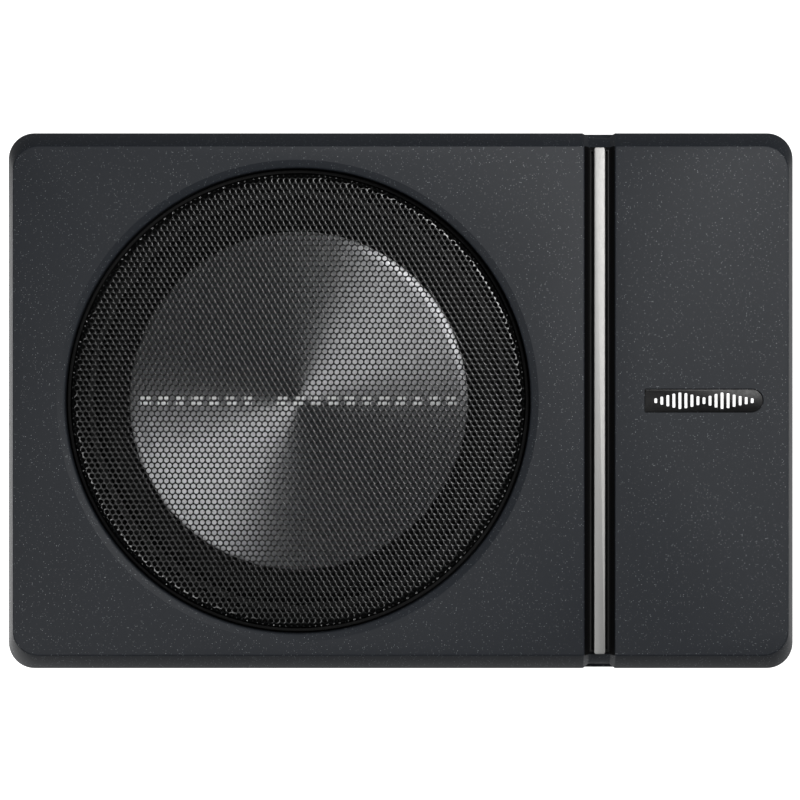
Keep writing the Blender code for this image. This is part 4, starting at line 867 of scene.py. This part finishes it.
# %% [markdown]
# ## The grille
# The grille is one sheet of steel with thousands of round holes on a close hexagonal lattice, pressed into a
# shallow dish. Punching holes in a curved sheet is heavy work, so it is made the way the factory makes it:
# a flat sheet first, pressed afterwards. One cell is a ring between a hexagon and a round hole. It is
# doubled into rows and fields, welded, and then every point is moved: its distance from the middle becomes
# a length along the dish's profile. At last the sheet is given its thickness.

# %% One cell, doubled into a field
HOLE_PITCH, HOLE_RADIUS, RIM_WIDTH, RIM_DROP = 2.585 * MM, 1.02 * MM, 0.14 * MM, 0.036 * MM
ROW_STEP = HOLE_PITCH * math.sqrt(3) / 2
SHEET = 0.8 * MM
CROWN_Z, CROWN_SAG, CROWN_RADIUS, BEND, SKIRT_BOTTOM = 68.4 * MM, 2.2 * MM, 95.6 * MM, 2.4 * MM, 57.6 * MM
FIELD_RADIUS = CROWN_RADIUS + BEND * math.pi / 2 + (CROWN_Z - CROWN_SAG - BEND - SKIRT_BOTTOM)

field = bmesh.new()
bmesh.ops.create_circle(field, segments=6, radius=HOLE_PITCH / math.sqrt(3))
bmesh.ops.subdivide_edges(field, edges=field.edges[:], cuts=1)
hexagon_edges = field.edges[:]
rings = []
for radius in (HOLE_RADIUS + RIM_WIDTH, HOLE_RADIUS):
    made = bmesh.ops.create_circle(field, segments=12, radius=radius)
    rings.append(edges_round(made["verts"]))
bmesh.ops.bridge_loops(field, edges=hexagon_edges + rings[0])
bmesh.ops.bridge_loops(field, edges=rings[0] + rings[1])


def double(bm, move):
    made = bmesh.ops.duplicate(bm, geom=bm.verts[:] + bm.edges[:] + bm.faces[:])["geom"]
    bmesh.ops.translate(bm, vec=move, verts=verts_in(made))


def trim(bm, test):
    bmesh.ops.delete(bm, geom=[v for v in bm.verts if test(v.co)], context="VERTS")


half_rows = math.ceil(FIELD_RADIUS / ROW_STEP) + 1
half_columns = math.ceil(FIELD_RADIUS / HOLE_PITCH) + 1
for step in range(7):
    double(field, (HOLE_PITCH * 2**step, 0, 0))
trim(field, lambda co: co.x > (2 * half_columns + 1) * HOLE_PITCH)
double(field, (HOLE_PITCH / 2, ROW_STEP, 0))
for step in range(1, 7):
    double(field, (0, ROW_STEP * 2**step, 0))
    trim(field, lambda co: co.y > (2 * half_rows + 1) * ROW_STEP)
to_middle = (-half_columns * HOLE_PITCH, (0.5 - half_rows // 2 * 2) * ROW_STEP, 0)
bmesh.ops.translate(field, vec=to_middle, verts=field.verts)
trim(field, lambda co: math.hypot(co.x, co.y) > FIELD_RADIUS)
bmesh.ops.delete(field, geom=[v for v in field.verts if not v.link_faces], context="VERTS")
bmesh.ops.remove_doubles(field, verts=field.verts, dist=0.02 * MM)
print("grille cells:", len(field.faces) // 24)


def cell_reach(point):
    """How far from the middle of the sheet the middle of the cell lies that holds a point."""
    near = round(point.y / ROW_STEP - 0.5)
    cells = []
    for row in (near - 1, near, near + 1):
        shift = HOLE_PITCH / 2 * (row % 2)
        column = round((point.x - shift) / HOLE_PITCH)
        cells.append(Vector((column * HOLE_PITCH + shift, (row + 0.5) * ROW_STEP, 0)))
    return min(cells, key=lambda middle: (middle - point).length).length


# The sheet is too fine for one mesh, so it is kept as rings of whole cells, marked here on each face.
BAND_ENDS = [54 * MM, 76 * MM, 92 * MM]
for face in field.faces:
    reach = cell_reach(face.calc_center_median())
    face.material_index = sum(reach > end for end in BAND_ENDS)

# %% [markdown]
# Pressing bends the sheet over a crown and down into a short skirt. The webs' edges on the upper side are
# drawn down by a hair, as a punch leaves them, and kept sharp, so that each hole has a bright rim. The sheet
# is thickened downwards, one band of cells at a time.

# %% Press the sheet into its dish and give it its thickness
def pressed(distance):
    """Radius and height on the sheet's upper side at a distance from the middle along its profile."""
    if distance < CROWN_RADIUS:
        return distance, CROWN_Z - CROWN_SAG * (distance / CROWN_RADIUS) ** 2
    turned = (distance - CROWN_RADIUS) / BEND
    low = CROWN_Z - CROWN_SAG
    if turned < math.pi / 2:
        return CROWN_RADIUS + BEND * math.sin(turned), low - BEND * (1 - math.cos(turned))
    return CROWN_RADIUS + BEND, low - BEND - (turned - math.pi / 2) * BEND


for v in field.verts:
    distance = math.hypot(v.co.x, v.co.y)
    radius, level = pressed(distance)
    share = radius / distance if distance > 0 else 1
    v.co = Vector((DRIVER.x + v.co.x * share, v.co.y * share, level))

WEB_EDGE = 0.65 * MM
RIM_EDGES = (0.42 * MM, 0.565 * MM)  # how long an edge of a hole's rim can be
RING_EDGES = (0.42 * MM, 0.62 * MM)  # the same for the rim and the ring round it
for band in range(len(BAND_ENDS) + 1):
    part = field.copy()
    bmesh.ops.delete(part, geom=[f for f in part.faces if f.material_index != band], context="FACES")
    bmesh.ops.recalc_face_normals(part, faces=part.faces)
    if sum(f.normal.z for f in part.faces) < 0:
        bmesh.ops.reverse_faces(part, faces=part.faces)
    for e in part.edges:
        on_border = len(e.link_faces) == 1 and e.calc_length() > WEB_EDGE
        e.smooth = not (on_border or RING_EDGES[0] < e.calc_length() < RING_EDGES[1])
    part.normal_update()
    rims = {}
    for e in part.edges:
        if len(e.link_faces) == 1 and RIM_EDGES[0] < e.calc_length() < RIM_EDGES[1]:
            for v in e.verts:
                rims[v] = v.normal.copy()
    bmesh.ops.solidify(part, geom=part.faces[:], thickness=SHEET)
    for v, normal in rims.items():
        v.co -= normal * RIM_DROP
    for f in part.faces:
        f.smooth = True
        f.material_index = 0
    tops = [v.co.z for v in part.verts]
    count = len(part.faces)
    mesh_part = mesh_object(f"grille_sheet_{band + 1}", part)
    mesh_part.data.materials.append(grille_black)
    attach(mesh_part, CASE)
    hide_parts("grille_mesh")
    print(mesh_part.name, count, "faces, z", round(min(tops) / MM, 2), round(max(tops) / MM, 2))
field.free()

# %% [markdown]
# A plastic ring holds the sheet's skirt and rests on the ledge in the well. It is a turned part, so its
# outline is drawn once and spun round the driver's axis.

# %% Grille ring
ring_profile = [
    (100, 62.6), (99.8, 63.1), (99.2, 63.2), (98.6, 63.1), (98.35, 62.6), (98.35, 57.2), (92.4, 57.2),
    (92.4, 55.6), (98.8, 55.6), (98.8, 52.3), (100, 52.3),
]
ring_piece = spun([(r * MM, z * MM) for r, z in ring_profile], STEPS)
piece("grille_retainer", ring_piece, ring_black, stands_for=["grille_ring"], smooth=50)

# %% [markdown]
# ## Cone, marks and suspension
# Under the grille lies a shallow dish of spun aluminium, held all round by a rolled rubber surround. The dish is
# turned from its profile. Its face carried a line of printed lettering; a row of plain dashes takes its
# place, laid on the dish point by point so that it follows the curve.

# %% Cone
CONE_FLAT, CONE_EDGE, CONE_RIM, CONE_DEPTH = 69 * MM, 73.6 * MM, 53.4 * MM, 5 * MM


def cone_height(radius):
    return CONE_RIM - CONE_DEPTH * max(0.0, 1 - (radius / CONE_FLAT) ** 2)


radii = [CONE_FLAT * k / 14 for k in range(15)]
over = [(r, cone_height(r)) for r in radii] + [(CONE_EDGE - 0.3 * MM, CONE_RIM), (CONE_EDGE, CONE_RIM - 0.3 * MM)]
under = [(CONE_EDGE, CONE_RIM - 1 * MM)] + [(r, cone_height(r) - 1 * MM) for r in reversed(radii)]
cone = spun(over + under, STEPS, closed=False)
piece(
    "spun_cone", cone, cone_metal, body=CONE_BODY, stands_for=["cone"], smooth=50
)

# %% [markdown]
# The dashes are thin printed strokes in two rows. Each is a flat strip with rounded corners whose points are
# lifted onto the dish, a few hundredths of a millimetre above it, before it gets its thickness.

# %% Dashes on the cone
DASH_LENGTHS = (4.6, 4.6, 3.6, 5.0, 4.0, 4.6, 3.4, 0, 4.6, 4.6, 4.0, 4.8, 4.6, 3.8, 5.0, 4.4, 3.6, 4.6, 4.6)
DASH_PITCH, DASH_THICKNESS, DASH_ROW, DASH_RISE = 7.4, 1.3, 1.15, 0.06
dashes = bmesh.new()
for index, length in enumerate(DASH_LENGTHS):
    if length:
        x = DRIVER.x + (index - (len(DASH_LENGTHS) - 1) / 2) * DASH_PITCH * MM
        size = Matrix.Diagonal((length / 2 * MM, DASH_THICKNESS / 2 * MM, 1, 1))
        for row in (-DASH_ROW, DASH_ROW):
            matrix = Matrix.Translation((x, row * MM, 0)) @ size
            bmesh.ops.create_grid(dashes, x_segments=4, y_segments=1, size=1, matrix=matrix)
bevel(dashes, [v for v in dashes.verts if len(v.link_edges) == 2], 0.3 * MM, 3, "VERTICES")
for v in dashes.verts:
    v.co.z = cone_height(math.hypot(v.co.x - DRIVER.x, v.co.y)) + DASH_RISE * MM
bmesh.ops.recalc_face_normals(dashes, faces=dashes.faces)
bmesh.ops.solidify(dashes, geom=dashes.faces[:], thickness=0.05 * MM)
piece("cone_dashes", dashes, print_silver, body=CONE_BODY, smooth=50)

# %% [markdown]
# The surround is a half-round roll of rubber, glued to the cone inside and to the frame outside. It is
# turned from its profile as one fixed piece, with its placement baked into its points.

# %% Surround
def two_sided(line, thickness):
    """The closed profile, in metres, of a skin of that thickness round a line of (radius, height) in mm."""
    upper, lower = [], []
    for index, point in enumerate(line):
        before, after = Vector(line[max(index - 1, 0)]), Vector(line[min(index + 1, len(line) - 1)])
        along = (after - before).normalized()
        side = Vector((-along.y, along.x)) * thickness / 2
        upper.append(tuple((Vector(point) + side) * MM))
        lower.append(tuple((Vector(point) - side) * MM))
    return upper + lower[::-1]


def follow_cone(obj):
    """Bakes a round piece's placement into its points."""
    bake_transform(obj)


ROLL_MIDDLE, ROLL_RADIUS, ROLL_Z = 81.7, 6.6, 52.4
centre_line = [(70.2, 51.5), (73.6, 51.5), (74.4, 51.7)]
for step in range(1, 18):
    angle = math.radians(180 - 10 * step)
    centre_line.append((ROLL_MIDDLE + ROLL_RADIUS * math.cos(angle), ROLL_Z + ROLL_RADIUS * math.sin(angle)))
centre_line += [(89.0, 52.8), (92, 52.9)]
roll = spun(two_sided(centre_line, 1.0), STEPS)
surround_piece = piece(
    "rolled_surround", roll, surround_rubber, body=None, stands_for=["surround"], smooth=60
)
follow_cone(surround_piece)

# %% [markdown]
# The spider is the second spring: a disc of resin-stiffened cloth, pressed into rings of waves, that holds the
# coil in the middle of its gap. Its inner edge rides with the coil and its outer edge stays on the frame; here
# it is made as one fixed piece, like the surround.

# %% Spider
SPIDER_Z, SPIDER_WAVE, SPIDER_INNER, SPIDER_OUTER = 38.65, 1.1, 27.5, 50.5
wave_line = [(25.9, SPIDER_Z)]
for step in range(37):
    share = step / 36
    radius = SPIDER_INNER + (SPIDER_OUTER - SPIDER_INNER) * share
    wave_line.append((radius, SPIDER_Z - SPIDER_WAVE * math.sin(3 * math.tau * share)))
wave_line += [(54, SPIDER_Z), (58.8, SPIDER_Z)]
spider_piece = piece(
    "corrugated_spider",
    spun(two_sided(wave_line, 0.6), STEPS),
    spider_cloth,
    body=None,
    stands_for=["spider"],
    smooth=60,
)
follow_cone(spider_piece)

# %% [markdown]
# ## Trim bar, channel and badge
# A bright brushed bar runs the whole width of the cover in a narrow black channel. Both are long extrusions
# with soft edges. The badge is a thin black plate let into the cover. Where it bore a name it has a plain
# level-meter mark.

# %% Bar and channel
bar = block((GROOVE_X - 2.36 * MM, bar_low.y, 67.2 * MM), (GROOVE_X + 2.36 * MM, bar_high.y, 69.7 * MM))
bevel(bar, [e for e in bar.edges if upright(e)], 0.9 * MM, 6)
bevel(bar, sharp_edges(bar, 40, above=69 * MM), 0.28 * MM, 3)
keel_face = facing(bar, (0, 0, -1), -67.2 * MM)
keel = outline_loop(bar, (GROOVE_X, 0, 67.2 * MM), (1, 0, 0), (0, 1, 0), 1.6 * MM, 107 * MM)
let_in(bar, keel_face, [keel], (0, 0, -2.5 * MM))
piece("brushed_bar", bar, bar_metal, stands_for=["trim_bar"], smooth=30)

channel_low, channel_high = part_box("trim_channel")
channel = block(channel_low, channel_high)
floor_face = facing(channel, (0, 0, 1), channel_high.z)
trough_middle, trough_half = (GROOVE_X, 0, channel_high.z), channel_high.y - 0.6 * MM
trough = outline_loop(channel, trough_middle, (1, 0, 0), (0, 1, 0), 3.5 * MM, trough_half)
let_in(channel, floor_face, [trough], (0, 0, -2.5 * MM))
bevel(channel, sharp_edges(channel, 40, above=66 * MM), 0.15 * MM, 2)
piece("bar_channel", channel, trim_black, stands_for=["trim_channel"], smooth=30)

# %% [markdown]
# The plate is the recess's outline again, a little smaller, with a small round along its upper edge.

# %% Badge plate
plate = bmesh.new()
faces = badge_outline(plate, 0, badge_low.z, 0.97, 10)
made = bmesh.ops.extrude_face_region(plate, geom=faces)["geom"]
bmesh.ops.translate(plate, vec=(0, 0, badge_high.z - badge_low.z), verts=verts_in(made))
face_outwards(plate)
bevel(plate, sharp_edges(plate, 50, above=badge_high.z - 0.1 * MM), 0.2 * MM, 2)
piece("badge", plate, badge_black, stands_for=["badge_plate"], smooth=40)

# %% [markdown]
# The mark is a row of upright bars like a sound level, longer and shorter again, printed on the plate.

# %% Level-meter mark on the badge
METER_PITCH, METER_WIDTH, METER_RISE = 2.6, 1.15, 0.08
METER_HEIGHTS = (2.0, 3.4, 4.8, 6.0, 7.0, 6.4, 5.2, 3.8, 2.8, 4.2, 5.8, 7.0, 6.4, 5.2, 4.0, 3.0, 2.0)
meter = bmesh.new()
for index, height in enumerate(METER_HEIGHTS):
    x = (badge_low.x + badge_high.x) / 2 + (index - (len(METER_HEIGHTS) - 1) / 2) * METER_PITCH * MM
    matrix = Matrix.Translation((x, 0, badge_high.z + METER_RISE * MM / 2))
    size = Matrix.Diagonal((METER_WIDTH * MM, height * MM, METER_RISE * MM, 1))
    bmesh.ops.create_cube(meter, size=1, matrix=matrix @ size)
bevel(meter, [e for e in meter.edges if upright(e)], 0.3 * MM, 3)
piece("badge_mark", meter, print_silver, smooth=40)

# %% [markdown]
# ## The socket bay
# One end of the chassis holds everything that a fitter needs: sockets, level and filter controls, a phase
# switch, line inputs, a fuse and a light, in a tray set back behind the case's end. The tray's back wall is
# pierced once for each of them.

# %% Bay tray
BAY_BACK, BAY_FACE = 158 * MM, 160 * MM
AXIS_Z = 25 * MM
bay_low, bay_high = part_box("connector_bay")
GAIN_Y, CROSSOVER_Y, PHASE_Y, PHONO_Y, REMOTE_Y = -82 * MM, -65 * MM, -47 * MM, (-30 * MM, -14 * MM), 4 * MM
SPEAKER_Y, POWER_Y, FUSE_Y, LIGHT_Y = 25 * MM, 51 * MM, 76 * MM, 89.5 * MM

tray = block(bay_low, bay_high)
bevel(tray, [e for e in tray.edges if abs(e.verts[0].co.x - e.verts[1].co.x) > 5 * MM], 1.2 * MM, 4)
tray_mouth = facing(tray, (1, 0, 0), bay_high.x)
bmesh.ops.inset_region(tray, faces=[tray_mouth], thickness=2.5 * MM, use_even_offset=True)
made = bmesh.ops.extrude_face_region(tray, geom=[tray_mouth])["geom"]
bmesh.ops.delete(tray, geom=[tray_mouth], context="FACES_ONLY")
bmesh.ops.translate(tray, vec=(BAY_FACE - bay_high.x, 0, 0), verts=verts_in(made))
face_outwards(tray)
windows = []
for y, half_y, half_z in (
    (POWER_Y, 11.3, 6.8), (SPEAKER_Y, 9.3, 5.8), (REMOTE_Y, 6.6, 5.3), (FUSE_Y, 8.3, 4.8), (PHASE_Y, 4.6, 1.9),
):
    windows.append(outline_loop(tray, (BAY_FACE, y, AXIS_Z), (0, 1, 0), UP, half_y * MM, half_z * MM))
for y, radius in (*((y, 4.5) for y in PHONO_Y), (CROSSOVER_Y, 2.5), (GAIN_Y, 2.5), (LIGHT_Y, 2.3)):
    windows.append(round_loop(tray, (BAY_FACE, y, AXIS_Z), (1, 0, 0), radius * MM))
pierce(tray, facing(tray, (1, 0, 0), BAY_FACE), windows)
back_loops = [pull_to(tray, loop, (BAY_BACK - BAY_FACE, 0, 0)) for loop in windows]
pierce(tray, facing(tray, (-1, 0, 0), -BAY_BACK), back_loops)
print_open("bay", tray)
piece("socket_tray", tray, bay_plastic, stands_for=["connector_bay"], smooth=30)

# %% [markdown]
# Each socket is an open shroud with pins in it, on a foot that stands on the circuit board. Three of them
# differ only in size, place and colour, so one function makes them all.

# %% Sockets
def shroud(name, node_name, y, width, height, mouth_x, pins, material):
    """An open-fronted socket with a soft-edged shroud, and its row of nickel pins."""
    half_w, half_h, wall = width / 2 * MM, height / 2 * MM, 1.4 * MM
    mouth = mouth_x * MM
    body = block((145 * MM, y - half_w, AXIS_Z - half_h), (mouth, y + half_w, AXIS_Z + half_h))
    front = facing(body, (1, 0, 0), mouth)
    cavity = outline_loop(body, (mouth, y, AXIS_Z), (0, 1, 0), (0, 0, 1), half_w - wall, half_h - wall)
    let_in(body, front, [cavity], (-12 * MM, 0, 0))
    bevel(body, sharp_edges(body, 50, axis=0, above=150 * MM), 0.3 * MM, 2)
    foot = block((145 * MM, y - half_w, 15.9 * MM), (157.7 * MM, y + half_w, AXIS_Z - half_h + 0.5 * MM))
    spare = bpy.data.meshes.new("foot")
    foot.to_mesh(spare)
    foot.free()
    body.from_mesh(spare)
    bpy.data.meshes.remove(spare)
    piece(f"{name}_shroud", body, material, stands_for=[node_name], smooth=30)
    row = bmesh.new()
    pitch = 2 * (half_w - wall) / pins
    for index in range(pins):
        middle = y - half_w + wall + (index + 0.5) * pitch
        size = Matrix.Diagonal((8 * MM, 1.4 * MM, 1.4 * MM, 1))
        matrix = Matrix.Translation((mouth - 10 * MM, middle, AXIS_Z)) @ size
        bmesh.ops.create_cube(row, size=1, matrix=matrix)
    bevel(row, row.edges[:], 0.2 * MM, 2)
    piece(f"{name}_pins", row, nickel, smooth=40)


shroud("power", "power_socket", POWER_Y, 22, 13, 165.5, 4, black_plastic)
shroud("speaker_input", "speaker_input_socket", SPEAKER_Y, 18, 11, 165.5, 4, socket_white)
shroud("remote", "remote_socket", REMOTE_Y, 12.6, 10, 162.5, 4, black_plastic)

# %% [markdown]
# The line inputs are two turned barrels that stick out of one moulded block: red for the right channel and
# white for the left. Each has an insulating core with a hole for the plug's pin.

# %% Line inputs: nickel barrels with a coloured insulator
jack_low, jack_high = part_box("line_input_jacks")
jack_block = block((jack_low.x, jack_low.y, jack_low.z), (157.7 * MM, jack_high.y, jack_high.z))
bevel(jack_block, jack_block.edges[:], 0.4 * MM, 2)
piece("jack_block", jack_block, black_plastic, stands_for=["line_input_jacks"], smooth=40)


def turned_x(profile, steps, x, y, closed=True):
    """A piece turned round an axis along X, from (radius, x) points in millimetres."""
    points = [(x + along * MM, y, AXIS_Z + r * MM) for r, along in profile]
    return turned(points, (x, y, AXIS_Z), (1, 0, 0), steps, closed)


for y, colour, name in ((PHONO_Y[0], red_insulator, "right"), (PHONO_Y[1], white_insulator, "left")):
    barrel = [(4.15, 0), (4.15, 8.9), (4.0, 9.3), (3.7, 9.4), (3.4, 9.3), (3.3, 9.0), (3.3, 0)]
    sleeve = turned_x(barrel, 48, 158.2 * MM, y)
    piece(f"line_input_barrel_{name}", sleeve, nickel, smooth=40)
    insulator = [(3.25, 0), (3.25, 8.2), (3.0, 8.4), (1.9, 8.4), (1.7, 8.2), (1.7, 0)]
    core = turned_x(insulator, 40, 158.2 * MM, y)
    piece(f"line_input_core_{name}", core, colour, smooth=40)

# %% [markdown]
# A knob is a turned blank. Its grip gets its grooves by drawing every other row of points in a little, and a
# white line on its face shows where it points. Both ride on the joint, so the line turns with the grip.

# %% Knobs
def knob(name, node_name, body_name, y):
    """A knurled knob: a turned blank whose grip has every other point drawn in, and a white pointer line."""
    start, collar, face_x = 151.6, 160.8, 167.4
    grip = 3.9
    profile = [
        (0, face_x - 0.25), (grip - 1.2, face_x - 0.25), (grip - 0.9, face_x), (grip - 0.35, face_x),
        (grip, face_x - 0.4), (grip, collar + 1.6), (4.4, collar + 0.9), (4.4, collar), (1.8, collar),
        (1.8, start), (0, start),
    ]
    blank = turned_x(profile, 56, 0, y, closed=False)
    for v in blank.verts:
        radial = Vector((0, v.co.y - y, v.co.z - AXIS_Z))
        step = round(math.atan2(radial.z, radial.y) / (math.tau / 56))
        if step % 2 and grip - 0.1 < radial.length / MM < grip + 0.1:
            v.co -= radial.normalized() * 0.28 * MM
    piece(f"{name}_grip", blank, knob_grey, body=body_name, stands_for=[node_name], smooth=42)
    line_low = (face_x * MM - 0.3 * MM, y - 0.35 * MM, AXIS_Z + 0.6 * MM)
    line = block(line_low, (face_x * MM - 0.02 * MM, y + 0.35 * MM, AXIS_Z + 2.7 * MM))
    bevel(line, line.edges[:], 0.06 * MM, 2)
    piece(f"{name}_pointer", line, white_insulator, body=body_name, smooth=40)


knob("gain", "gain_knob", "gain_control", GAIN_Y)
knob("crossover", "crossover_knob", "crossover_control", CROSSOVER_Y)

# %% [markdown]
# Round each knob eleven printed strokes show how far it turns, longer at both ends and in the middle. Beside
# them are a grooved slider, a blue fuse with two blades in its holder, and a green light.

# %% Dial marks round the knobs, slider, fuse and light
dial = bmesh.new()
for y in (GAIN_Y, CROSSOVER_Y):
    for index in range(11):
        angle = math.radians(90 - 140 + 28 * index)
        long_mark = index in (0, 5, 10)
        reach, length = 6.3 * MM, (1.5 if long_mark else 0.9) * MM
        matrix = (
            Matrix.Translation((BAY_FACE + 0.04 * MM, y, AXIS_Z))
            @ Matrix.Rotation(angle, 4, "X")
            @ Matrix.Translation((0, reach, 0))
            @ Matrix.Diagonal((0.08 * MM, length, 0.35 * MM, 1))
        )
        bmesh.ops.create_cube(dial, size=1, matrix=matrix)
bevel(dial, [e for e in dial.edges if abs(e.verts[0].co.x - e.verts[1].co.x) > 0.05 * MM], 0.12 * MM, 2)
piece("dial_marks", dial, white_insulator, smooth=40)

slider_low, slider_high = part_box("phase_slider")
slider = block(slider_low, slider_high)
for offset in (-1.2, -0.4, 0.4, 1.2):
    bmesh.ops.bisect_plane(
        slider,
        geom=slider.verts[:] + slider.edges[:] + slider.faces[:],
        plane_co=(0, (slider_low.y + slider_high.y) / 2 + offset * MM, 0),
        plane_no=(0, 1, 0),
    )
for v in slider.verts:
    offset = (v.co.y - (slider_low.y + slider_high.y) / 2) / MM
    if v.co.x > slider_high.x - 0.1 * MM and 0.3 < abs(offset) < 0.5:
        v.co.x -= 0.7 * MM
bevel(slider, sharp_edges(slider, 30), 0.15 * MM, 2)
piece(
    "phase_slider_cap",
    slider,
    knob_grey,
    body="phase_control",
    stands_for=["phase_slider"],
    smooth=40,
)

holder = block((145 * MM, FUSE_Y - 8 * MM, AXIS_Z - 4.5 * MM), (162.5 * MM, FUSE_Y + 8 * MM, AXIS_Z + 4.5 * MM))
slot_loop = outline_loop(holder, (162.5 * MM, FUSE_Y, AXIS_Z), (0, 1, 0), (0, 0, 1), 6.6 * MM, 2.2 * MM)
let_in(holder, facing(holder, (1, 0, 0), 162.5 * MM), [slot_loop], (-13 * MM, 0, 0))
bevel(holder, sharp_edges(holder, 50, axis=0, above=150 * MM), 0.3 * MM, 2)
piece("fuse_holder_body", holder, black_plastic, stands_for=["fuse_holder"], smooth=30)

blade = block((159 * MM, FUSE_Y - 6 * MM, AXIS_Z - 1.8 * MM), (167.5 * MM, FUSE_Y + 6 * MM, AXIS_Z + 1.8 * MM))
bevel(blade, [e for e in blade.edges if abs(e.verts[0].co.x - e.verts[1].co.x) > 5 * MM], 0.7 * MM, 4)
grip_loop = outline_loop(blade, (167.5 * MM, FUSE_Y, AXIS_Z), (0, 1, 0), (0, 0, 1), 4.4 * MM, 0.9 * MM)
let_in(blade, facing(blade, (1, 0, 0), 167.5 * MM), [grip_loop], (-1.2 * MM, 0, 0))
bevel(blade, sharp_edges(blade, 50, axis=0, above=167 * MM), 0.2 * MM, 2)
piece("fuse_body", blade, fuse_blue, stands_for=["blade_fuse"], smooth=40)
blades = bmesh.new()
for offset in (-3.9, 3.9):
    size = Matrix.Diagonal((10 * MM, 2.6 * MM, 0.8 * MM, 1))
    matrix = Matrix.Translation((155 * MM, FUSE_Y + offset * MM, AXIS_Z)) @ size
    bmesh.ops.create_cube(blades, size=1, matrix=matrix)
bevel(blades, blades.edges[:], 0.15 * MM, 2)
piece("fuse_blades", blades, zinc, smooth=40)

lens_profile = [(0, 6.4), (0.7, 6.3), (1.3, 6.0), (1.7, 5.5), (1.9, 4.8), (1.9, 0.6), (2.6, 0.6), (2.6, 0), (0, 0)]
lens = turned_x(lens_profile, 32, 156.5 * MM, LIGHT_Y, closed=False)
piece("status_lens", lens, light_green, stands_for=["status_light"], smooth=50)

# %% [markdown]
# ## Feet and screws
# The underside is plain: four rubber feet, and four deep wells with a screw at the bottom of each. A foot
# is a low disc with a rounded edge and a ring moulded into its face for grip.

# %% Feet
FOOT_X, FOOT_Y = 126 * MM, 90 * MM
foot_profile = [
    (0, 2.7), (10, 2.7), (10, 1.0), (9.75, 0.45), (9.2, 0.12), (8.6, 0), (7.4, 0), (7.2, 0.5), (5.4, 0.5),
    (5.2, 0), (3.2, 0), (3.0, 0.8), (0, 0.8),
]
number = 0
for x in (-FOOT_X, FOOT_X):
    for y in (-FOOT_Y, FOOT_Y):
        number += 1
        foot = spun([(r * MM, z * MM) for r, z in foot_profile], 48, Vector((x, y, 0)), closed=False)
        stood_for = [f"rubber_foot_{number}"]
        piece(f"grip_foot_{number}", foot, black_rubber, stands_for=stood_for, smooth=40)

# %% [markdown]
# The case screws come up from below and hold the cover. Only their heads can be seen, at the bottom of the
# wells: turned, domed, with a hexagon let into the middle for the key.

# %% Case screws with a hexagon socket
number = 0
for x in (-BOSS_X, BOSS_X):
    for y in (-BOSS_Y, BOSS_Y):
        number += 1
        seat_z = SCREW_SEAT - 0.3 * MM
        profile = [
            (0, seat_z - 2.6 * MM), (2.4 * MM, seat_z - 2.6 * MM), (3.2 * MM, seat_z - 2.25 * MM),
            (3.7 * MM, seat_z - 1.5 * MM), (3.8 * MM, seat_z - 0.8 * MM), (3.8 * MM, seat_z), (1.7 * MM, seat_z),
            (1.7 * MM, seat_z + 18.5 * MM), (0, seat_z + 20 * MM),
        ]
        screw = spun(profile, 32, Vector((x, y, 0)), closed=False)
        face_outwards(screw)
        flat_end = [f for f in screw.faces if abs(f.calc_center_median().z - profile[0][1]) < 0.01 * MM]
        bmesh.ops.dissolve_faces(screw, faces=flat_end)
        head = facing(screw, DOWN, -profile[0][1])
        socket_loop = round_loop(screw, (x, y, profile[0][1]), (0, 0, 1), 1.6 * MM, 6)
        let_in(screw, head, [socket_loop], (0, 0, 1.4 * MM))
        stood_for = [f"cover_screw_{number}"]
        piece(f"case_screw_{number}", screw, zinc, stands_for=stood_for, smooth=35)

# %% [markdown]
# ## Parts that stay hidden
# Everything inside keeps its solid. Each one gets the finish of its own material, so that an opened or
# exploded view of the case still looks like the real thing.

# %% Finishes of the inner parts
inner_finishes = {
    seal_foam: ("chassis_gasket", "driver_gasket"),
    black_cast: ("basket",),
    black_plastic: ("amp_partition", "driver_terminal", "gain_pot", "crossover_pot", "phase_switch"),
    black_rubber: ("partition_grommet",),
    zinc: ("pole_yoke", "top_plate", "heat_clamp_bar"),
    ferrite_grey: ("ring_magnet",),
    pulp_black: ("support_cone",),
    nickel: ("voice_coil_former",),
    copper_wire: ("voice_coil_winding", "toroid_choke"),
    board_green: ("circuit_board",),
    capacitor_sleeve: ("capacitor_1", "capacitor_2", "capacitor_3"),
    epoxy_black: ("power_transistor_1", "power_transistor_2"),
    red_sleeve: ("speaker_lead_red",),
    black_sleeve: ("speaker_lead_black",),
    black_steel: tuple(f"driver_screw_{number}" for number in range(1, 7)),
}
for finish_material, names in inner_finishes.items():
    for name in names:
        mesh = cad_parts[name].data
        for index in range(len(mesh.materials)):
            mesh.materials[index] = finish_material
shown = [n for n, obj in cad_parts.items() if not obj.hide_render]
given = {name for names in inner_finishes.values() for name in names}
print("nodes shown:", len(shown), "without a finish:", sorted(set(shown) - given))
